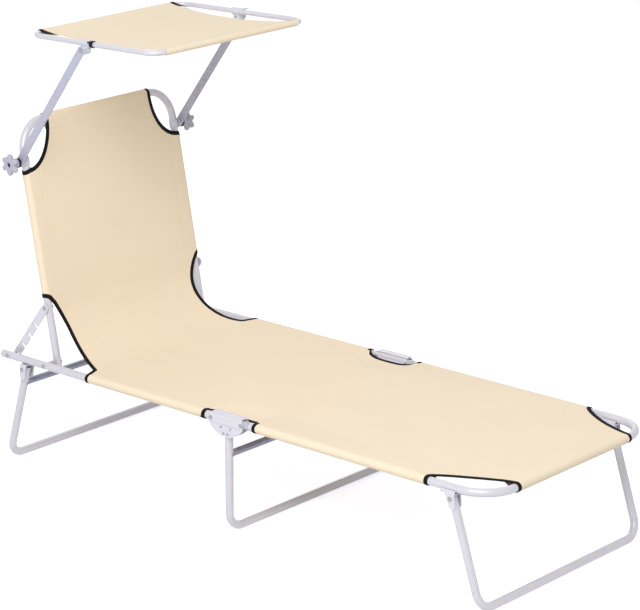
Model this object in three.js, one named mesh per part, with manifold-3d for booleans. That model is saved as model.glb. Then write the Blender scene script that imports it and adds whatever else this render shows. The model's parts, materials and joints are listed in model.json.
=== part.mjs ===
// Folding sun lounger with a sun canopy. Millimetres, X across, Y towards the head end, Z up.
import * as THREE from 'three';
import { mergeVertices } from 'three/addons/utils/BufferGeometryUtils.js';
import Module from 'manifold-3d';

const wasm = await Module();
wasm.setup();

// Clearances
const GAP = 0.3;
const OVERRUN = 60;

// Main frame tube
const TUBE_RADIUS = 9;
const TUBE_WALL = 1.1;
const TUBE_SIDES = 16;
const BORE_SIDES = 8;
const BEND_STEPS = 6;
const TUBE_END = 5;

// Lounger layout
const RAIL_HALF_WIDTH = 280;
const RAIL_HEIGHT = 259;
const SEAT_LENGTH = 706;
const FOOT_LENGTH = 711;
const FOOT_CORNER_RADIUS = 80;
const HINGE_SPACING = 88;

// Backrest, whose pivot is set back from the rails' rear ends
const BACK_PIVOT_SETBACK = 138;
const BACK_PIVOT_ALONG = SEAT_LENGTH - BACK_PIVOT_SETBACK;
const BACK_LENGTH = 555;
const BACK_HALF_WIDTH = 243;
const BACK_CORNER_RADIUS = 70;
const BACK_ANGLE_DEG = 79;
const BACK_TAIL = 10;

// Legs: how far each pivots from its rail's end, and how far inside the rail
const LEG_DROP = 22.5;
const LEG_CORNER_RADIUS = 38;
const REAR_LEG_SETBACK = 68;
const REAR_LEG_INSET = 6;
const FOOT_LEG_SETBACK = 95;
const FOOT_LEG_INSET = 1;

// Where each leg pivots, how far its bar stands out on the floor, and its half width
const REAR_LEG = {
  along: SEAT_LENGTH - REAR_LEG_SETBACK,
  splay: 65,
  half: RAIL_HALF_WIDTH - REAR_LEG_INSET,
  bracket: { back: 13, front: 12, depth: 29 },
};
const FOOT_LEG = {
  along: FOOT_LEG_SETBACK - FOOT_LENGTH,
  splay: -74,
  half: RAIL_HALF_WIDTH - FOOT_LEG_INSET,
  bracket: { back: 31, front: 16, depth: 38 },
};
const MID_LEG_HALF = RAIL_HALF_WIDTH;
const CROSSBAR_RADIUS = 8;
const CROSSBAR_DROP = 77;
const REAR_CROSSBAR_DROP = 38;

// Rivets and pins
const PIN_RADIUS = 3;
const PIN_HEAD_RADIUS = 5.2;
const PIN_HEAD_HEIGHT = 1.8;
const PIN_SIDES = 8;
const RIVET_RADIUS = 2;
const RIVET_HEAD_RADIUS = 3.4;
const RIVET_HEAD_HEIGHT = 1.2;

// Pressed plate of the brackets and hinge shells
const PLATE = 1.6;
const PLATE_CLEARANCE = 0.6;

// Fabric
const CLOTH = 1.2;
const SLEEVE_SIDES = 16;
const BINDING_WIDTH = 9;
const BINDING_RISE = 0.8;
const OUTLINE_POINTS = 24;
const ARC_STEPS = 6;

// Main surface colours
const STEEL = { color: 0xd6d5dc, roughness: 0.32, metalness: 0.7 };
const PLATE_STEEL = { color: 0xdcdce4, roughness: 0.35, metalness: 0.7 };
const BARE_STEEL = { color: 0xb4b6bd, roughness: 0.35, metalness: 0.8 };
const FABRIC = { color: 0xeeddbf, roughness: 0.95, metalness: 0 };
const BLACK_PLASTIC = { color: 0x202226, roughness: 0.5, metalness: 0 };
const GREY_PLASTIC = { color: 0xc6c4d2, roughness: 0.45, metalness: 0 };

const SIDES = [['left', -1], ['right', 1]];
const radians = THREE.MathUtils.degToRad;
const v3 = (x, y, z) => new THREE.Vector3(x, y, z);

// Closed solids

// The geometry with position only and its shared vertices merged
function bare(geometry) {
  const plain = geometry.clone();
  plain.deleteAttribute('normal');
  plain.deleteAttribute('uv');
  return mergeVertices(plain);
}

// The manifold solid of a closed geometry, turned to face out
function solid(geometry) {
  const plain = bare(geometry);
  const index = Uint32Array.from(plain.index.array);
  const position = plain.attributes.position;
  let volume = 0;
  const [a, b, c] = [v3(), v3(), v3()];
  for (let i = 0; i < index.length; i += 3) {
    a.fromBufferAttribute(position, index[i]);
    b.fromBufferAttribute(position, index[i + 1]);
    c.fromBufferAttribute(position, index[i + 2]);
    volume += a.dot(b.cross(c));
  }
  if (volume < 0) {
    for (let i = 0; i < index.length; i += 3) {
      [index[i + 1], index[i + 2]] = [index[i + 2], index[i + 1]];
    }
  }
  const vertProperties = Float32Array.from(position.array);
  return new wasm.Manifold(new wasm.Mesh({ numProp: 3, vertProperties, triVerts: index }));
}

// The geometry of a manifold solid
function geometryOf(body) {
  const { vertProperties, triVerts } = body.getMesh();
  const geometry = new THREE.BufferGeometry();
  geometry.setAttribute('position', new THREE.BufferAttribute(Float32Array.from(vertProperties), 3));
  geometry.setIndex(Array.from(triVerts));
  return geometry;
}

const join = (...bodies) => bodies.reduce((whole, body) => whole.add(body));
const cut = (body, ...cutters) => cutters.reduce((rest, cutter) => rest.subtract(cutter), body);

// A block between two corners
function block(low, high) {
  const size = high.clone().sub(low);
  const box = new THREE.BoxGeometry(size.x, size.y, size.z);
  const centre = low.clone().add(high).divideScalar(2);
  return solid(box.translate(centre.x, centre.y, centre.z));
}

// A regular polygon whose flats lie at the given radius, with a flat facing each axis
function ring(radius, sides) {
  const corner = radius / Math.cos(Math.PI / sides);
  return Array.from({ length: sides }, (_, i) => {
    const angle = (i + 1 / 2) * 2 * Math.PI / sides;
    return new THREE.Vector2(corner * Math.cos(angle), corner * Math.sin(angle));
  });
}

// An outline given thickness along its own Z
const extruded = (shape, depth) =>
  new THREE.ExtrudeGeometry(shape, { depth, bevelEnabled: false, curveSegments: ARC_STEPS });

// A rod between two points of one axis
function rod(start, end, radius, sides) {
  const along = end.clone().sub(start);
  const bar = extruded(new THREE.Shape(ring(radius, sides)), along.length());
  bar.applyQuaternion(new THREE.Quaternion().setFromUnitVectors(v3(0, 0, 1), along.normalize()));
  return solid(bar.translate(start.x, start.y, start.z));
}

// A flat plate: an outline in Y and Z, given thickness from x = low to x = high
function plateAcross(shape, low, high) {
  const geometry = extruded(shape, high - low);
  geometry.applyMatrix4(new THREE.Matrix4().makeBasis(v3(0, 1, 0), v3(0, 0, 1), v3(1, 0, 0)));
  return solid(geometry.translate(low, 0, 0));
}

// A section in X and Z, drawn out from y = low to y = high
function drawnAlong(shape, low, high) {
  const geometry = extruded(shape, high - low);
  geometry.applyMatrix4(new THREE.Matrix4().makeBasis(v3(1, 0, 0), v3(0, 0, 1), v3(0, -1, 0)));
  return solid(geometry.translate(0, high, 0));
}

// An outline in X and Y, drawn up through a panel
function drawnUp(shape, low, high) {
  const geometry = extruded(shape, high - low);
  return solid(geometry.translate(0, 0, low));
}

// A revolved solid about the X axis from [x, radius] points that start and end on the axis
function turned(points, sides) {
  const profile = points.map(([x, radius]) => new THREE.Vector2(radius, x));
  const geometry = new THREE.LatheGeometry(profile, sides);
  return solid(geometry.rotateZ(-Math.PI / 2));
}

// Tubes

// A bent tube's centre line: straight runs joined by round bends, with stations only where it turns
class BentPath extends THREE.Curve {
  constructor(corners, bendRadius) {
    super();
    const last = corners.length - 1;
    const heading = (i) => corners[i + 1].clone().sub(corners[i]).normalize();
    this.stations = [{ point: corners[0], tangent: heading(0) }];
    for (let i = 1; i < last; i++) {
      const into = heading(i - 1);
      const out = heading(i);
      const turn = into.angleTo(out);
      const inward = out.clone().addScaledVector(into, -out.dot(into)).normalize();
      const start = corners[i].clone().addScaledVector(into, -bendRadius * Math.tan(turn / 2));
      for (let step = 0; step <= BEND_STEPS; step++) {
        const angle = turn * step / BEND_STEPS;
        const point = start.clone().addScaledVector(into, bendRadius * Math.sin(angle));
        point.addScaledVector(inward, bendRadius * (1 - Math.cos(angle)));
        const tangent = into.clone().multiplyScalar(Math.cos(angle));
        this.stations.push({ point, tangent: tangent.addScaledVector(inward, Math.sin(angle)) });
      }
    }
    this.stations.push({ point: corners[last], tangent: heading(last - 1) });
  }

  get steps() {
    return this.stations.length - 1;
  }

  station(share) {
    return this.stations[Math.round(share * this.steps)];
  }

  getPointAt(share, target = v3()) {
    return target.copy(this.station(share).point);
  }

  getTangentAt(share, target = v3()) {
    return target.copy(this.station(share).tangent);
  }
}

// A hollow tube along straight runs and bends
function tube(corners, radius, wall, bendRadius, sides) {
  const section = new THREE.Shape(ring(radius, sides));
  section.holes.push(new THREE.Path(ring(radius - wall, BORE_SIDES)));
  const path = new BentPath(corners, bendRadius);
  return solid(new THREE.ExtrudeGeometry(section, { steps: path.steps, extrudePath: path }));
}

const frameTube = (corners, bendRadius) =>
  tube(corners, TUBE_RADIUS, TUBE_WALL, bendRadius, TUBE_SIDES);

// The hole through a tube, across X, at a place in Y and Z
const crossHole = (y, z) =>
  rod(v3(-RAIL_HALF_WIDTH - OVERRUN, y, z), v3(RAIL_HALF_WIDTH + OVERRUN, y, z),
    PIN_RADIUS + GAP, PIN_SIDES);

// A pin across X with a round head at each end that is asked for
function pin(start, end, y, z, heads = { start: true, end: true }, size = {}) {
  const radius = size.radius ?? PIN_RADIUS;
  const headRadius = size.headRadius ?? PIN_HEAD_RADIUS;
  const headHeight = size.headHeight ?? PIN_HEAD_HEIGHT;
  const points = [];
  if (heads.start) {
    points.push([start - headHeight, 0], [start, headRadius], [start, radius]);
  } else {
    points.push([start, 0], [start, radius]);
  }
  if (heads.end) {
    points.push([end, radius], [end, headRadius], [end + headHeight, 0]);
  } else {
    points.push([end, radius], [end, 0]);
  }
  return turned(points, PIN_SIDES).translate([0, y, z]);
}

// A right-hand piece, or its mirror image for the left side
const mirrored = (body, side) => (side < 0 ? body.mirror([1, 0, 0]) : body);

// One named mesh with its own material
function piece(name, body, { color, roughness, metalness }) {
  const material = new THREE.MeshStandardMaterial({ color, roughness, metalness });
  const mesh = new THREE.Mesh(geometryOf(body), material);
  mesh.name = name;
  return mesh;
}

// Fabric panels

const SLEEVE_BORE = TUBE_RADIUS + GAP;
const SLEEVE_RADIUS = SLEEVE_BORE + CLOTH;
const WEB_LOW = SLEEVE_BORE;
const WEB_HIGH = SLEEVE_RADIUS;

// A web between two side tubes, hemmed round them, before its cut-outs
function sling(halfWidth, low, high) {
  const web = block(v3(-halfWidth, low, WEB_LOW), v3(halfWidth, high, WEB_HIGH));
  const sleeves = SIDES.map(([, side]) =>
    rod(v3(side * halfWidth, low, 0), v3(side * halfWidth, high, 0), SLEEVE_RADIUS, SLEEVE_SIDES));
  return join(web, ...sleeves);
}

// The room that two side tubes take in a sling
function tunnels(halfWidth, low, high) {
  return join(...SIDES.map(([, side]) =>
    rod(v3(side * halfWidth, low - OVERRUN, 0), v3(side * halfWidth, high + OVERRUN, 0),
      SLEEVE_BORE, SLEEVE_SIDES)));
}

// A round-cornered cut-out centred on a frame corner, grown all round by an offset
function cutOut(x, y, { across, along, squareness }, grow) {
  const points = Array.from({ length: OUTLINE_POINTS }, (_, i) => {
    const angle = (i + 1 / 2) * 2 * Math.PI / OUTLINE_POINTS;
    const bulge = (value) => Math.sign(value) * Math.abs(value) ** (2 / squareness);
    return new THREE.Vector2(
      x + (across + grow) * bulge(Math.cos(angle)),
      y + (along + grow) * bulge(Math.sin(angle)));
  });
  return drawnUp(new THREE.Shape(points), -OVERRUN, OVERRUN);
}

// A sling with its cut-outs, and a raised binding sewn along their edges
function bound(raw, room, cutters) {
  const rims = cutters.map((cutter) => cut(cutter(BINDING_WIDTH), cutter(0)).intersect(room));
  return cut(join(raw, ...rims), ...cutters.map((cutter) => cutter(0)));
}

// The flat space over a web that its raised bindings fill
const rimRoom = (halfWidth, low, high) =>
  block(v3(-halfWidth, low, WEB_LOW), v3(halfWidth, high, WEB_HIGH + BINDING_RISE));

const HINGE_CUT_END = 25.5;
const HINGE_CUT_SHIFT = 5;
const HINGE_CUT = { across: 26, along: HINGE_SPACING / 2 + HINGE_CUT_END, squareness: 3.2 };
const FOOT_CUT = { across: 82, along: 156, squareness: 1.25 };
const BACK_CUT = { across: 75, along: 111, squareness: 1.45 };

// The free part of the fabric, from the seat rails to the backrest tubes
const SEAT_SLING_SETBACK = 136;
const SEAT_SLING_END = BACK_PIVOT_ALONG - SEAT_SLING_SETBACK;
const BACK_SLING_START = 157;

// Seat section: rails, their fittings and the seat fabric

// The pressed channel under a rail that a folding leg pivots in
function legBracket({ along, splay, half, bracket }) {
  const inner = half - TUBE_RADIUS - PLATE_CLEARANCE;
  const outer = RAIL_HALF_WIDTH + TUBE_RADIUS + PLATE_CLEARANCE;
  const lean = Math.sign(splay);
  const top = -TUBE_RADIUS - GAP;
  const side = new THREE.Shape([
    new THREE.Vector2(along - lean * bracket.back, top),
    new THREE.Vector2(along + lean * bracket.front, top),
    new THREE.Vector2(along + lean * BRACKET_TIP, top - bracket.depth),
    new THREE.Vector2(along - lean * BRACKET_TIP, top - bracket.depth),
    new THREE.Vector2(along - lean * bracket.back, top - BRACKET_LIP),
  ]);
  const whole = plateAcross(side, inner - PLATE, outer + PLATE);
  const room = block(
    v3(inner, along - OVERRUN, top - PLATE - OVERRUN),
    v3(outer, along + OVERRUN, top - PLATE));
  return cut(whole, room, crossHole(along, -LEG_DROP));
}

const BRACKET_TIP = 11;
const BRACKET_LIP = 7;

function seatRail(side) {
  const x = side * RAIL_HALF_WIDTH;
  const start = HINGE_SPACING / 2 - TUBE_END;
  const straight = frameTube([v3(x, start, 0), v3(x, SEAT_LENGTH, 0)], TUBE_RADIUS);
  return cut(straight,
    crossHole(HINGE_SPACING / 2, 0),
    crossHole(BACK_PIVOT_ALONG, 0),
    crossHole(RATCHET_PIN_ALONG, 0));
}

// The plug in a rail's rear end, with a domed cap
const CAP = { depth: 14, height: 5, rim: 1.5 };
const CAP_DOME_SHARES = [[0.45, 0.9], [0.8, 0.62], [1, 0.3]];

function railCap() {
  const plug = (TUBE_RADIUS - TUBE_WALL) - GAP;
  const dome = CAP_DOME_SHARES.map(([height, radius]) => [
    GAP + CAP.rim + (CAP.height - CAP.rim) * height, TUBE_RADIUS * radius]);
  const points = [[-CAP.depth, 0], [-CAP.depth, plug], [GAP, plug], [GAP, TUBE_RADIUS]];
  points.push([GAP + CAP.rim, TUBE_RADIUS], ...dome, [GAP + CAP.height, 0]);
  return turned(points, TUBE_SIDES).rotate([0, 0, 90]);
}

// Ratchet strut, which lies between the backrest tube and the rail
const STRUT_GRIP_SETBACK = 28.4;
const STRUT = {
  width: 20, thickness: 3, offset: 2, grip: BACK_SLING_START - STRUT_GRIP_SETBACK, nose: 11, tail: 14,
};
const STRUT_INNER = BACK_HALF_WIDTH + TUBE_RADIUS + STRUT.offset;
const STRUT_OUTER = STRUT_INNER + STRUT.thickness;
const RATCHET_PIN_SETBACK = 18;
const RATCHET_PIN_ALONG = SEAT_LENGTH - RATCHET_PIN_SETBACK;
const NOTCH_SHARES = [0.36, 0.58, 0.8, 1];
const NOTCH_HALF_WIDTH = PIN_RADIUS + GAP;

const RAIL_INNER = RAIL_HALF_WIDTH - TUBE_RADIUS;
const RAIL_OUTER = RAIL_HALF_WIDTH + TUBE_RADIUS;

// The ratchet pin stops just short of the strut, which so stays free to swing
const ratchetPin = () =>
  pin(STRUT_OUTER + GAP, RAIL_OUTER + GAP, RATCHET_PIN_ALONG, 0, { start: false, end: true });

const backPivotPin = () =>
  pin(BACK_HALF_WIDTH - TUBE_RADIUS - GAP, RAIL_OUTER + GAP, BACK_PIVOT_ALONG, 0);

const PIVOT_BUSH_RADIUS = 7;

function pivotBush() {
  const start = BACK_HALF_WIDTH + TUBE_RADIUS + GAP;
  const end = RAIL_INNER - GAP;
  const at = (x) => v3(x, BACK_PIVOT_ALONG, 0);
  return cut(rod(at(start), at(end), PIVOT_BUSH_RADIUS, TUBE_SIDES), crossHole(BACK_PIVOT_ALONG, 0));
}

// A leg's pivot pin through both flanges of its bracket
function legPin({ along, half }) {
  const inner = half - TUBE_RADIUS - PLATE_CLEARANCE - PLATE - GAP;
  const outer = RAIL_HALF_WIDTH + TUBE_RADIUS + PLATE_CLEARANCE + PLATE + GAP;
  return pin(inner, outer, along, -LEG_DROP);
}

// The seat fabric, hemmed round the rails from the hinge line to the backrest's cut-out
function seatSling() {
  const raw = cut(
    sling(RAIL_HALF_WIDTH, GAP / 2, SEAT_SLING_END),
    tunnels(RAIL_HALF_WIDTH, 0, SEAT_SLING_END));
  const hinges = SIDES.map(([, side]) =>
    (grow) => cutOut(side * RAIL_HALF_WIDTH, -HINGE_CUT_SHIFT, HINGE_CUT, grow));
  return bound(raw, rimRoom(RAIL_HALF_WIDTH, GAP / 2, SEAT_SLING_END), hinges);
}

// The free fabric between seat and back: a smooth bend whose sides are drawn in
const BEND_DRAW_IN = 30;
const BEND = { radius: 150, waist: BACK_HALF_WIDTH - BEND_DRAW_IN, drawInPower: 2.4, rows: 20 };

// Points of the bend's upper side in Y and Z, seen from the side, with their upward normals
function bendProfile() {
  const lean = radians(BACK_ANGLE_DEG);
  const pivot = new THREE.Vector2(BACK_PIVOT_ALONG, 0);
  const up = new THREE.Vector2(Math.cos(lean), Math.sin(lean));
  const front = new THREE.Vector2(-Math.sin(lean), Math.cos(lean));
  const backAt = (along) => pivot.clone().addScaledVector(up, along).addScaledVector(front, WEB_HIGH);
  const crease = BACK_PIVOT_ALONG - WEB_HIGH * Math.tan(lean / 2);
  const setback = BEND.radius * Math.tan(lean / 2);
  const centre = new THREE.Vector2(crease - setback, WEB_HIGH + BEND.radius);
  const rows = [{ y: SEAT_SLING_END + GAP, z: WEB_HIGH, lean: 0 }];
  for (let i = 0; i <= BEND.rows; i++) {
    const turn = lean * i / BEND.rows;
    rows.push({
      y: centre.x + BEND.radius * Math.sin(turn),
      z: centre.y - BEND.radius * Math.cos(turn),
      lean: turn,
    });
  }
  const end = backAt(BACK_SLING_START - GAP);
  rows.push({ y: end.x, z: end.y, lean });
  return rows;
}

// A thin closed slab across X between two half widths given for each row of a profile
function slab(rows, from, to, thickness) {
  const positions = [];
  const index = [];
  rows.forEach((row, i) => {
    const below = {
      y: row.y + thickness * Math.sin(row.lean),
      z: row.z - thickness * Math.cos(row.lean),
    };
    positions.push(from(i), row.y, row.z, to(i), row.y, row.z);
    positions.push(to(i), below.y, below.z, from(i), below.y, below.z);
  });
  const quad = (a, b, c, d) => index.push(a, b, c, a, c, d);
  quad(0, 3, 2, 1);
  for (let i = 0; i < rows.length - 1; i++) {
    for (let k = 0; k < 4; k++) {
      const next = (k + 1) % 4;
      quad(4 * i + k, 4 * i + next, 4 * i + 4 + next, 4 * i + 4 + k);
    }
  }
  const end = 4 * (rows.length - 1);
  quad(end, end + 1, end + 2, end + 3);
  const geometry = new THREE.BufferGeometry();
  geometry.setAttribute('position', new THREE.Float32BufferAttribute(positions, 3));
  geometry.setIndex(index);
  return solid(geometry);
}

function bendSling() {
  const rows = bendProfile();
  const reach = [0];
  for (let i = 1; i < rows.length; i++) {
    reach.push(reach[i - 1] + Math.hypot(rows[i].y - rows[i - 1].y, rows[i].z - rows[i - 1].z));
  }
  const halfWidth = (i) => {
    const share = reach[i] / reach[rows.length - 1];
    const end = THREE.MathUtils.lerp(RAIL_HALF_WIDTH, BACK_HALF_WIDTH, share) - SLEEVE_RADIUS;
    return BEND.waist + (end - BEND.waist) * Math.abs(2 * share - 1) ** BEND.drawInPower;
  };
  const hem = (i) => halfWidth(i) - BINDING_WIDTH;
  const thick = CLOTH + BINDING_RISE;
  return join(
    slab(rows, (i) => -halfWidth(i), halfWidth, CLOTH),
    slab(rows, hem, halfWidth, thick),
    slab(rows, (i) => -halfWidth(i), (i) => -hem(i), thick));
}

function seatSection() {
  const group = new THREE.Group();
  for (const [name, side] of SIDES) {
    group.add(piece(`seat_rail_${name}`, seatRail(side), STEEL));
    const cap = piece(`rail_cap_${name}`, railCap(), GREY_PLASTIC);
    cap.position.set(side * RAIL_HALF_WIDTH, SEAT_LENGTH, 0);
    group.add(cap);
    group.add(piece(`rear_leg_bracket_${name}`, mirrored(legBracket(REAR_LEG), side), PLATE_STEEL));
    group.add(piece(`ratchet_pin_${name}`, mirrored(ratchetPin(), side), BARE_STEEL));
    group.add(piece(`backrest_pivot_pin_${name}`, mirrored(backPivotPin(), side), BARE_STEEL));
    group.add(piece(`backrest_bush_${name}`, mirrored(pivotBush(), side), GREY_PLASTIC));
    group.add(piece(`rear_leg_pin_${name}`, mirrored(legPin(REAR_LEG), side), BARE_STEEL));
  }
  group.add(piece('seat_sling', seatSling(), FABRIC));
  group.add(piece('bend_sling', bendSling(), FABRIC));
  return group;
}

// Folding legs, hung from a pin and leaning outward; local Z runs up the leg

// A U of tube: two uprights and the bar that stands on the floor
function leg(half, length, corner) {
  const corners = [
    v3(-half, 0, TUBE_END),
    v3(-half, 0, -length),
    v3(half, 0, -length),
    v3(half, 0, TUBE_END),
  ];
  return frameTube(corners, corner);
}

// A bar across a leg, its ends shaped to sit on the uprights
function crossbar(half, drop) {
  const reach = half - TUBE_RADIUS / 2;
  const corners = [v3(-reach, 0, -drop), v3(reach, 0, -drop)];
  const bar = tube(corners, CROSSBAR_RADIUS, TUBE_WALL, CROSSBAR_RADIUS, TUBE_SIDES);
  const seats = SIDES.map(([, side]) =>
    rod(v3(side * half, 0, -drop - OVERRUN), v3(side * half, 0, -drop + OVERRUN),
      TUBE_RADIUS + GAP, TUBE_SIDES));
  return cut(bar, ...seats);
}

// Length of a folding leg from its pin to its floor bar, and its lean from upright
const legFall = RAIL_HEIGHT - LEG_DROP - TUBE_RADIUS;
const legLength = ({ splay }) => Math.hypot(splay, legFall);
const legLean = ({ splay }) => Math.atan2(splay, legFall);

function foldingLeg(name, size) {
  const group = new THREE.Group();
  const bent = leg(size.half, legLength(size), LEG_CORNER_RADIUS);
  group.add(piece(name, cut(bent, crossHole(0, 0)), STEEL));
  group.position.set(0, size.along, -LEG_DROP);
  group.rotation.x = legLean(size);
  return group;
}

// Middle support: the fixed leg and the two hinge shells over the rail ends

const SHELL_RIM = 6;
const SHELL = {
  half: HINGE_SPACING / 2 + SHELL_RIM,
  shoulder: HINGE_SPACING / 2,
  lift: 3,
  skirt: 8,
  fan: 35,
  fanHalf: 12,
  rib: 1.5,
};
const SHELL_RIB_DEG = 36;
const SHELL_RIB_HALF_DEG = 14;
const SHELL_RIB_SHARES = [[-1, 0], [-0.4, 0.85], [0, 1], [0.4, 0.85], [1, 0]];
const SHELL_FLANK_DEG = 70;
const SHELL_STEPS = 10;
const SHELL_INNER = TUBE_RADIUS + PLATE_CLEARANCE;
const SHELL_OUTER = SHELL_INNER + PLATE;

// The shell's section: an arch with two ribs over the rail, and sides that reach down to the fan
function shellSection() {
  const at = (radius, angle) => new THREE.Vector2(
    radius * Math.sin(angle), SHELL.lift + radius * Math.cos(angle));
  const rib = SHELL_RIB_SHARES.map(([across, height]) => at(
    SHELL_OUTER + SHELL.rib * height,
    radians(SHELL_RIB_DEG + SHELL_RIB_HALF_DEG * across)));
  const flank = [at(SHELL_OUTER, radians(SHELL_FLANK_DEG)), at(SHELL_OUTER, Math.PI / 2)];
  const half = [at(SHELL_OUTER, 0), ...rib, ...flank, new THREE.Vector2(SHELL_OUTER, -SHELL.fan)];
  const flipped = half.slice(1).map(({ x, y }) => new THREE.Vector2(-x, y)).reverse();
  const inside = Array.from({ length: SHELL_STEPS + 1 }, (_, i) =>
    at(SHELL_INNER, Math.PI / 2 - Math.PI * i / SHELL_STEPS));
  const inner = [
    new THREE.Vector2(SHELL_INNER, -SHELL.fan), ...inside, new THREE.Vector2(-SHELL_INNER, -SHELL.fan),
  ];
  return new THREE.Shape([...flipped, ...half, ...inner]);
}

// The shell's outline from the side: sloped ends, and a fan that narrows onto the leg
function shellSide() {
  const top = SHELL.lift + SHELL_OUTER + SHELL.rib + GAP;
  const right = [
    [SHELL.fanHalf, -SHELL.fan],
    [SHELL.shoulder, -SHELL.skirt - PLATE],
    [SHELL.half, -SHELL.skirt],
    [SHELL.half, SHELL.lift],
    [SHELL.shoulder, top],
  ];
  const left = right.map(([y, z]) => [-y, z]).reverse();
  return new THREE.Shape([...right, ...left].map(([y, z]) => new THREE.Vector2(y, z)));
}

// Rivets that hold the fan to the leg, in a row above and a row below
const RIVET_ROWS = [
  { spread: 14, drop: 15 },
  { spread: 6, drop: 28 },
];
const rivetPlaces = RIVET_ROWS.flatMap(({ spread, drop }) => [[-spread, -drop], [spread, -drop]]);

const RIVET = { radius: RIVET_RADIUS, headRadius: RIVET_HEAD_RADIUS, headHeight: RIVET_HEAD_HEIGHT };

function hingeShell() {
  const drawn = drawnAlong(shellSection(), -SHELL.half, SHELL.half);
  const trimmed = drawn.intersect(plateAcross(shellSide(), -OVERRUN, OVERRUN));
  const holes = [-HINGE_SPACING / 2, HINGE_SPACING / 2].map((y) => crossHole(y, 0));
  const rivets = rivetPlaces.map(([y, z]) =>
    pin(SHELL_INNER, SHELL_OUTER, y, z, { start: false, end: true }, RIVET));
  return join(cut(trimmed, ...holes), ...rivets);
}

function hingePin(y) {
  const reach = SHELL_OUTER + GAP;
  return pin(RAIL_HALF_WIDTH - reach, RAIL_HALF_WIDTH + reach, y, 0);
}

function middleSupport() {
  const group = new THREE.Group();
  const drop = RAIL_HEIGHT - TUBE_RADIUS;
  const corners = [
    v3(-MID_LEG_HALF, 0, -TUBE_WALL),
    v3(-MID_LEG_HALF, 0, -drop),
    v3(MID_LEG_HALF, 0, -drop),
    v3(MID_LEG_HALF, 0, -TUBE_WALL),
  ];
  group.add(piece('mid_leg', frameTube(corners, LEG_CORNER_RADIUS), STEEL));
  group.add(piece('mid_leg_crossbar', crossbar(MID_LEG_HALF, CROSSBAR_DROP), STEEL));
  for (const [name, side] of SIDES) {
    const shell = piece(`hinge_shell_${name}`, mirrored(hingeShell(), side), PLATE_STEEL);
    shell.position.x = side * RAIL_HALF_WIDTH;
    group.add(shell);
    for (const [section, y] of [['seat', HINGE_SPACING / 2], ['foot', -HINGE_SPACING / 2]]) {
      group.add(piece(`${section}_hinge_pin_${name}`, mirrored(hingePin(y), side), BARE_STEEL));
    }
  }
  return group;
}

// Foot section: the U frame, its fabric and the foot leg's brackets

function footFrame() {
  const start = -HINGE_SPACING / 2 + TUBE_END;
  const corners = [
    v3(-RAIL_HALF_WIDTH, start, 0),
    v3(-RAIL_HALF_WIDTH, -FOOT_LENGTH, 0),
    v3(RAIL_HALF_WIDTH, -FOOT_LENGTH, 0),
    v3(RAIL_HALF_WIDTH, start, 0),
  ];
  return cut(frameTube(corners, FOOT_CORNER_RADIUS), crossHole(-HINGE_SPACING / 2, 0));
}

// A sleeve round the bar across a frame's end, and the room that the bar takes in it
const barSleeve = (halfWidth, y, radius) =>
  rod(v3(-halfWidth, y, 0), v3(halfWidth, y, 0), radius, SLEEVE_SIDES);

function footSling() {
  const web = sling(RAIL_HALF_WIDTH, -FOOT_LENGTH, -GAP / 2);
  const raw = cut(
    join(web, barSleeve(RAIL_HALF_WIDTH, -FOOT_LENGTH, SLEEVE_RADIUS)),
    tunnels(RAIL_HALF_WIDTH, -FOOT_LENGTH, 0),
    barSleeve(RAIL_HALF_WIDTH, -FOOT_LENGTH, SLEEVE_BORE));
  const cutters = SIDES.flatMap(([, side]) => [
    (grow) => cutOut(side * RAIL_HALF_WIDTH, -HINGE_CUT_SHIFT, HINGE_CUT, grow),
    (grow) => cutOut(side * RAIL_HALF_WIDTH, -FOOT_LENGTH, FOOT_CUT, grow),
  ]);
  return bound(raw, rimRoom(RAIL_HALF_WIDTH, -FOOT_LENGTH, -GAP / 2), cutters);
}

function footSection() {
  const group = new THREE.Group();
  group.add(piece('foot_frame', footFrame(), STEEL));
  for (const [name, side] of SIDES) {
    group.add(piece(`foot_leg_bracket_${name}`, mirrored(legBracket(FOOT_LEG), side), PLATE_STEEL));
    group.add(piece(`foot_leg_pin_${name}`, mirrored(legPin(FOOT_LEG), side), BARE_STEEL));
  }
  group.add(piece('foot_sling', footSling(), FABRIC));
  return group;
}

// Backrest, built lying flat: local Y runs up the back and local Z is its front

const KNOB_SETBACK = 87;
const KNOB_ALONG = BACK_LENGTH - KNOB_SETBACK;
const CLAMP = { wall: 2.6, half: 12, bossRadius: 11, bossEnd: 15.7 };
const ARM = { width: 20, thickness: 4, length: 355, leanDeg: 47, end: 10 };
const ARM_INNER = BACK_HALF_WIDTH + CLAMP.bossEnd + GAP;
const ARM_OUTER = ARM_INNER + ARM.thickness;

function backFrame() {
  const corners = [
    v3(-BACK_HALF_WIDTH, -BACK_TAIL, 0),
    v3(-BACK_HALF_WIDTH, BACK_LENGTH, 0),
    v3(BACK_HALF_WIDTH, BACK_LENGTH, 0),
    v3(BACK_HALF_WIDTH, -BACK_TAIL, 0),
  ];
  return cut(frameTube(corners, BACK_CORNER_RADIUS), crossHole(0, 0), crossHole(STRUT.grip, 0));
}

function backSling() {
  const web = sling(BACK_HALF_WIDTH, BACK_SLING_START, BACK_LENGTH);
  const raw = cut(
    join(web, barSleeve(BACK_HALF_WIDTH, BACK_LENGTH, SLEEVE_RADIUS)),
    tunnels(BACK_HALF_WIDTH, BACK_SLING_START, BACK_LENGTH),
    barSleeve(BACK_HALF_WIDTH, BACK_LENGTH, SLEEVE_BORE));
  const corners = SIDES.map(([, side]) =>
    (grow) => cutOut(side * BACK_HALF_WIDTH, BACK_LENGTH, BACK_CUT, grow));
  return bound(raw, rimRoom(BACK_HALF_WIDTH, BACK_SLING_START, BACK_LENGTH), corners);
}

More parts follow.
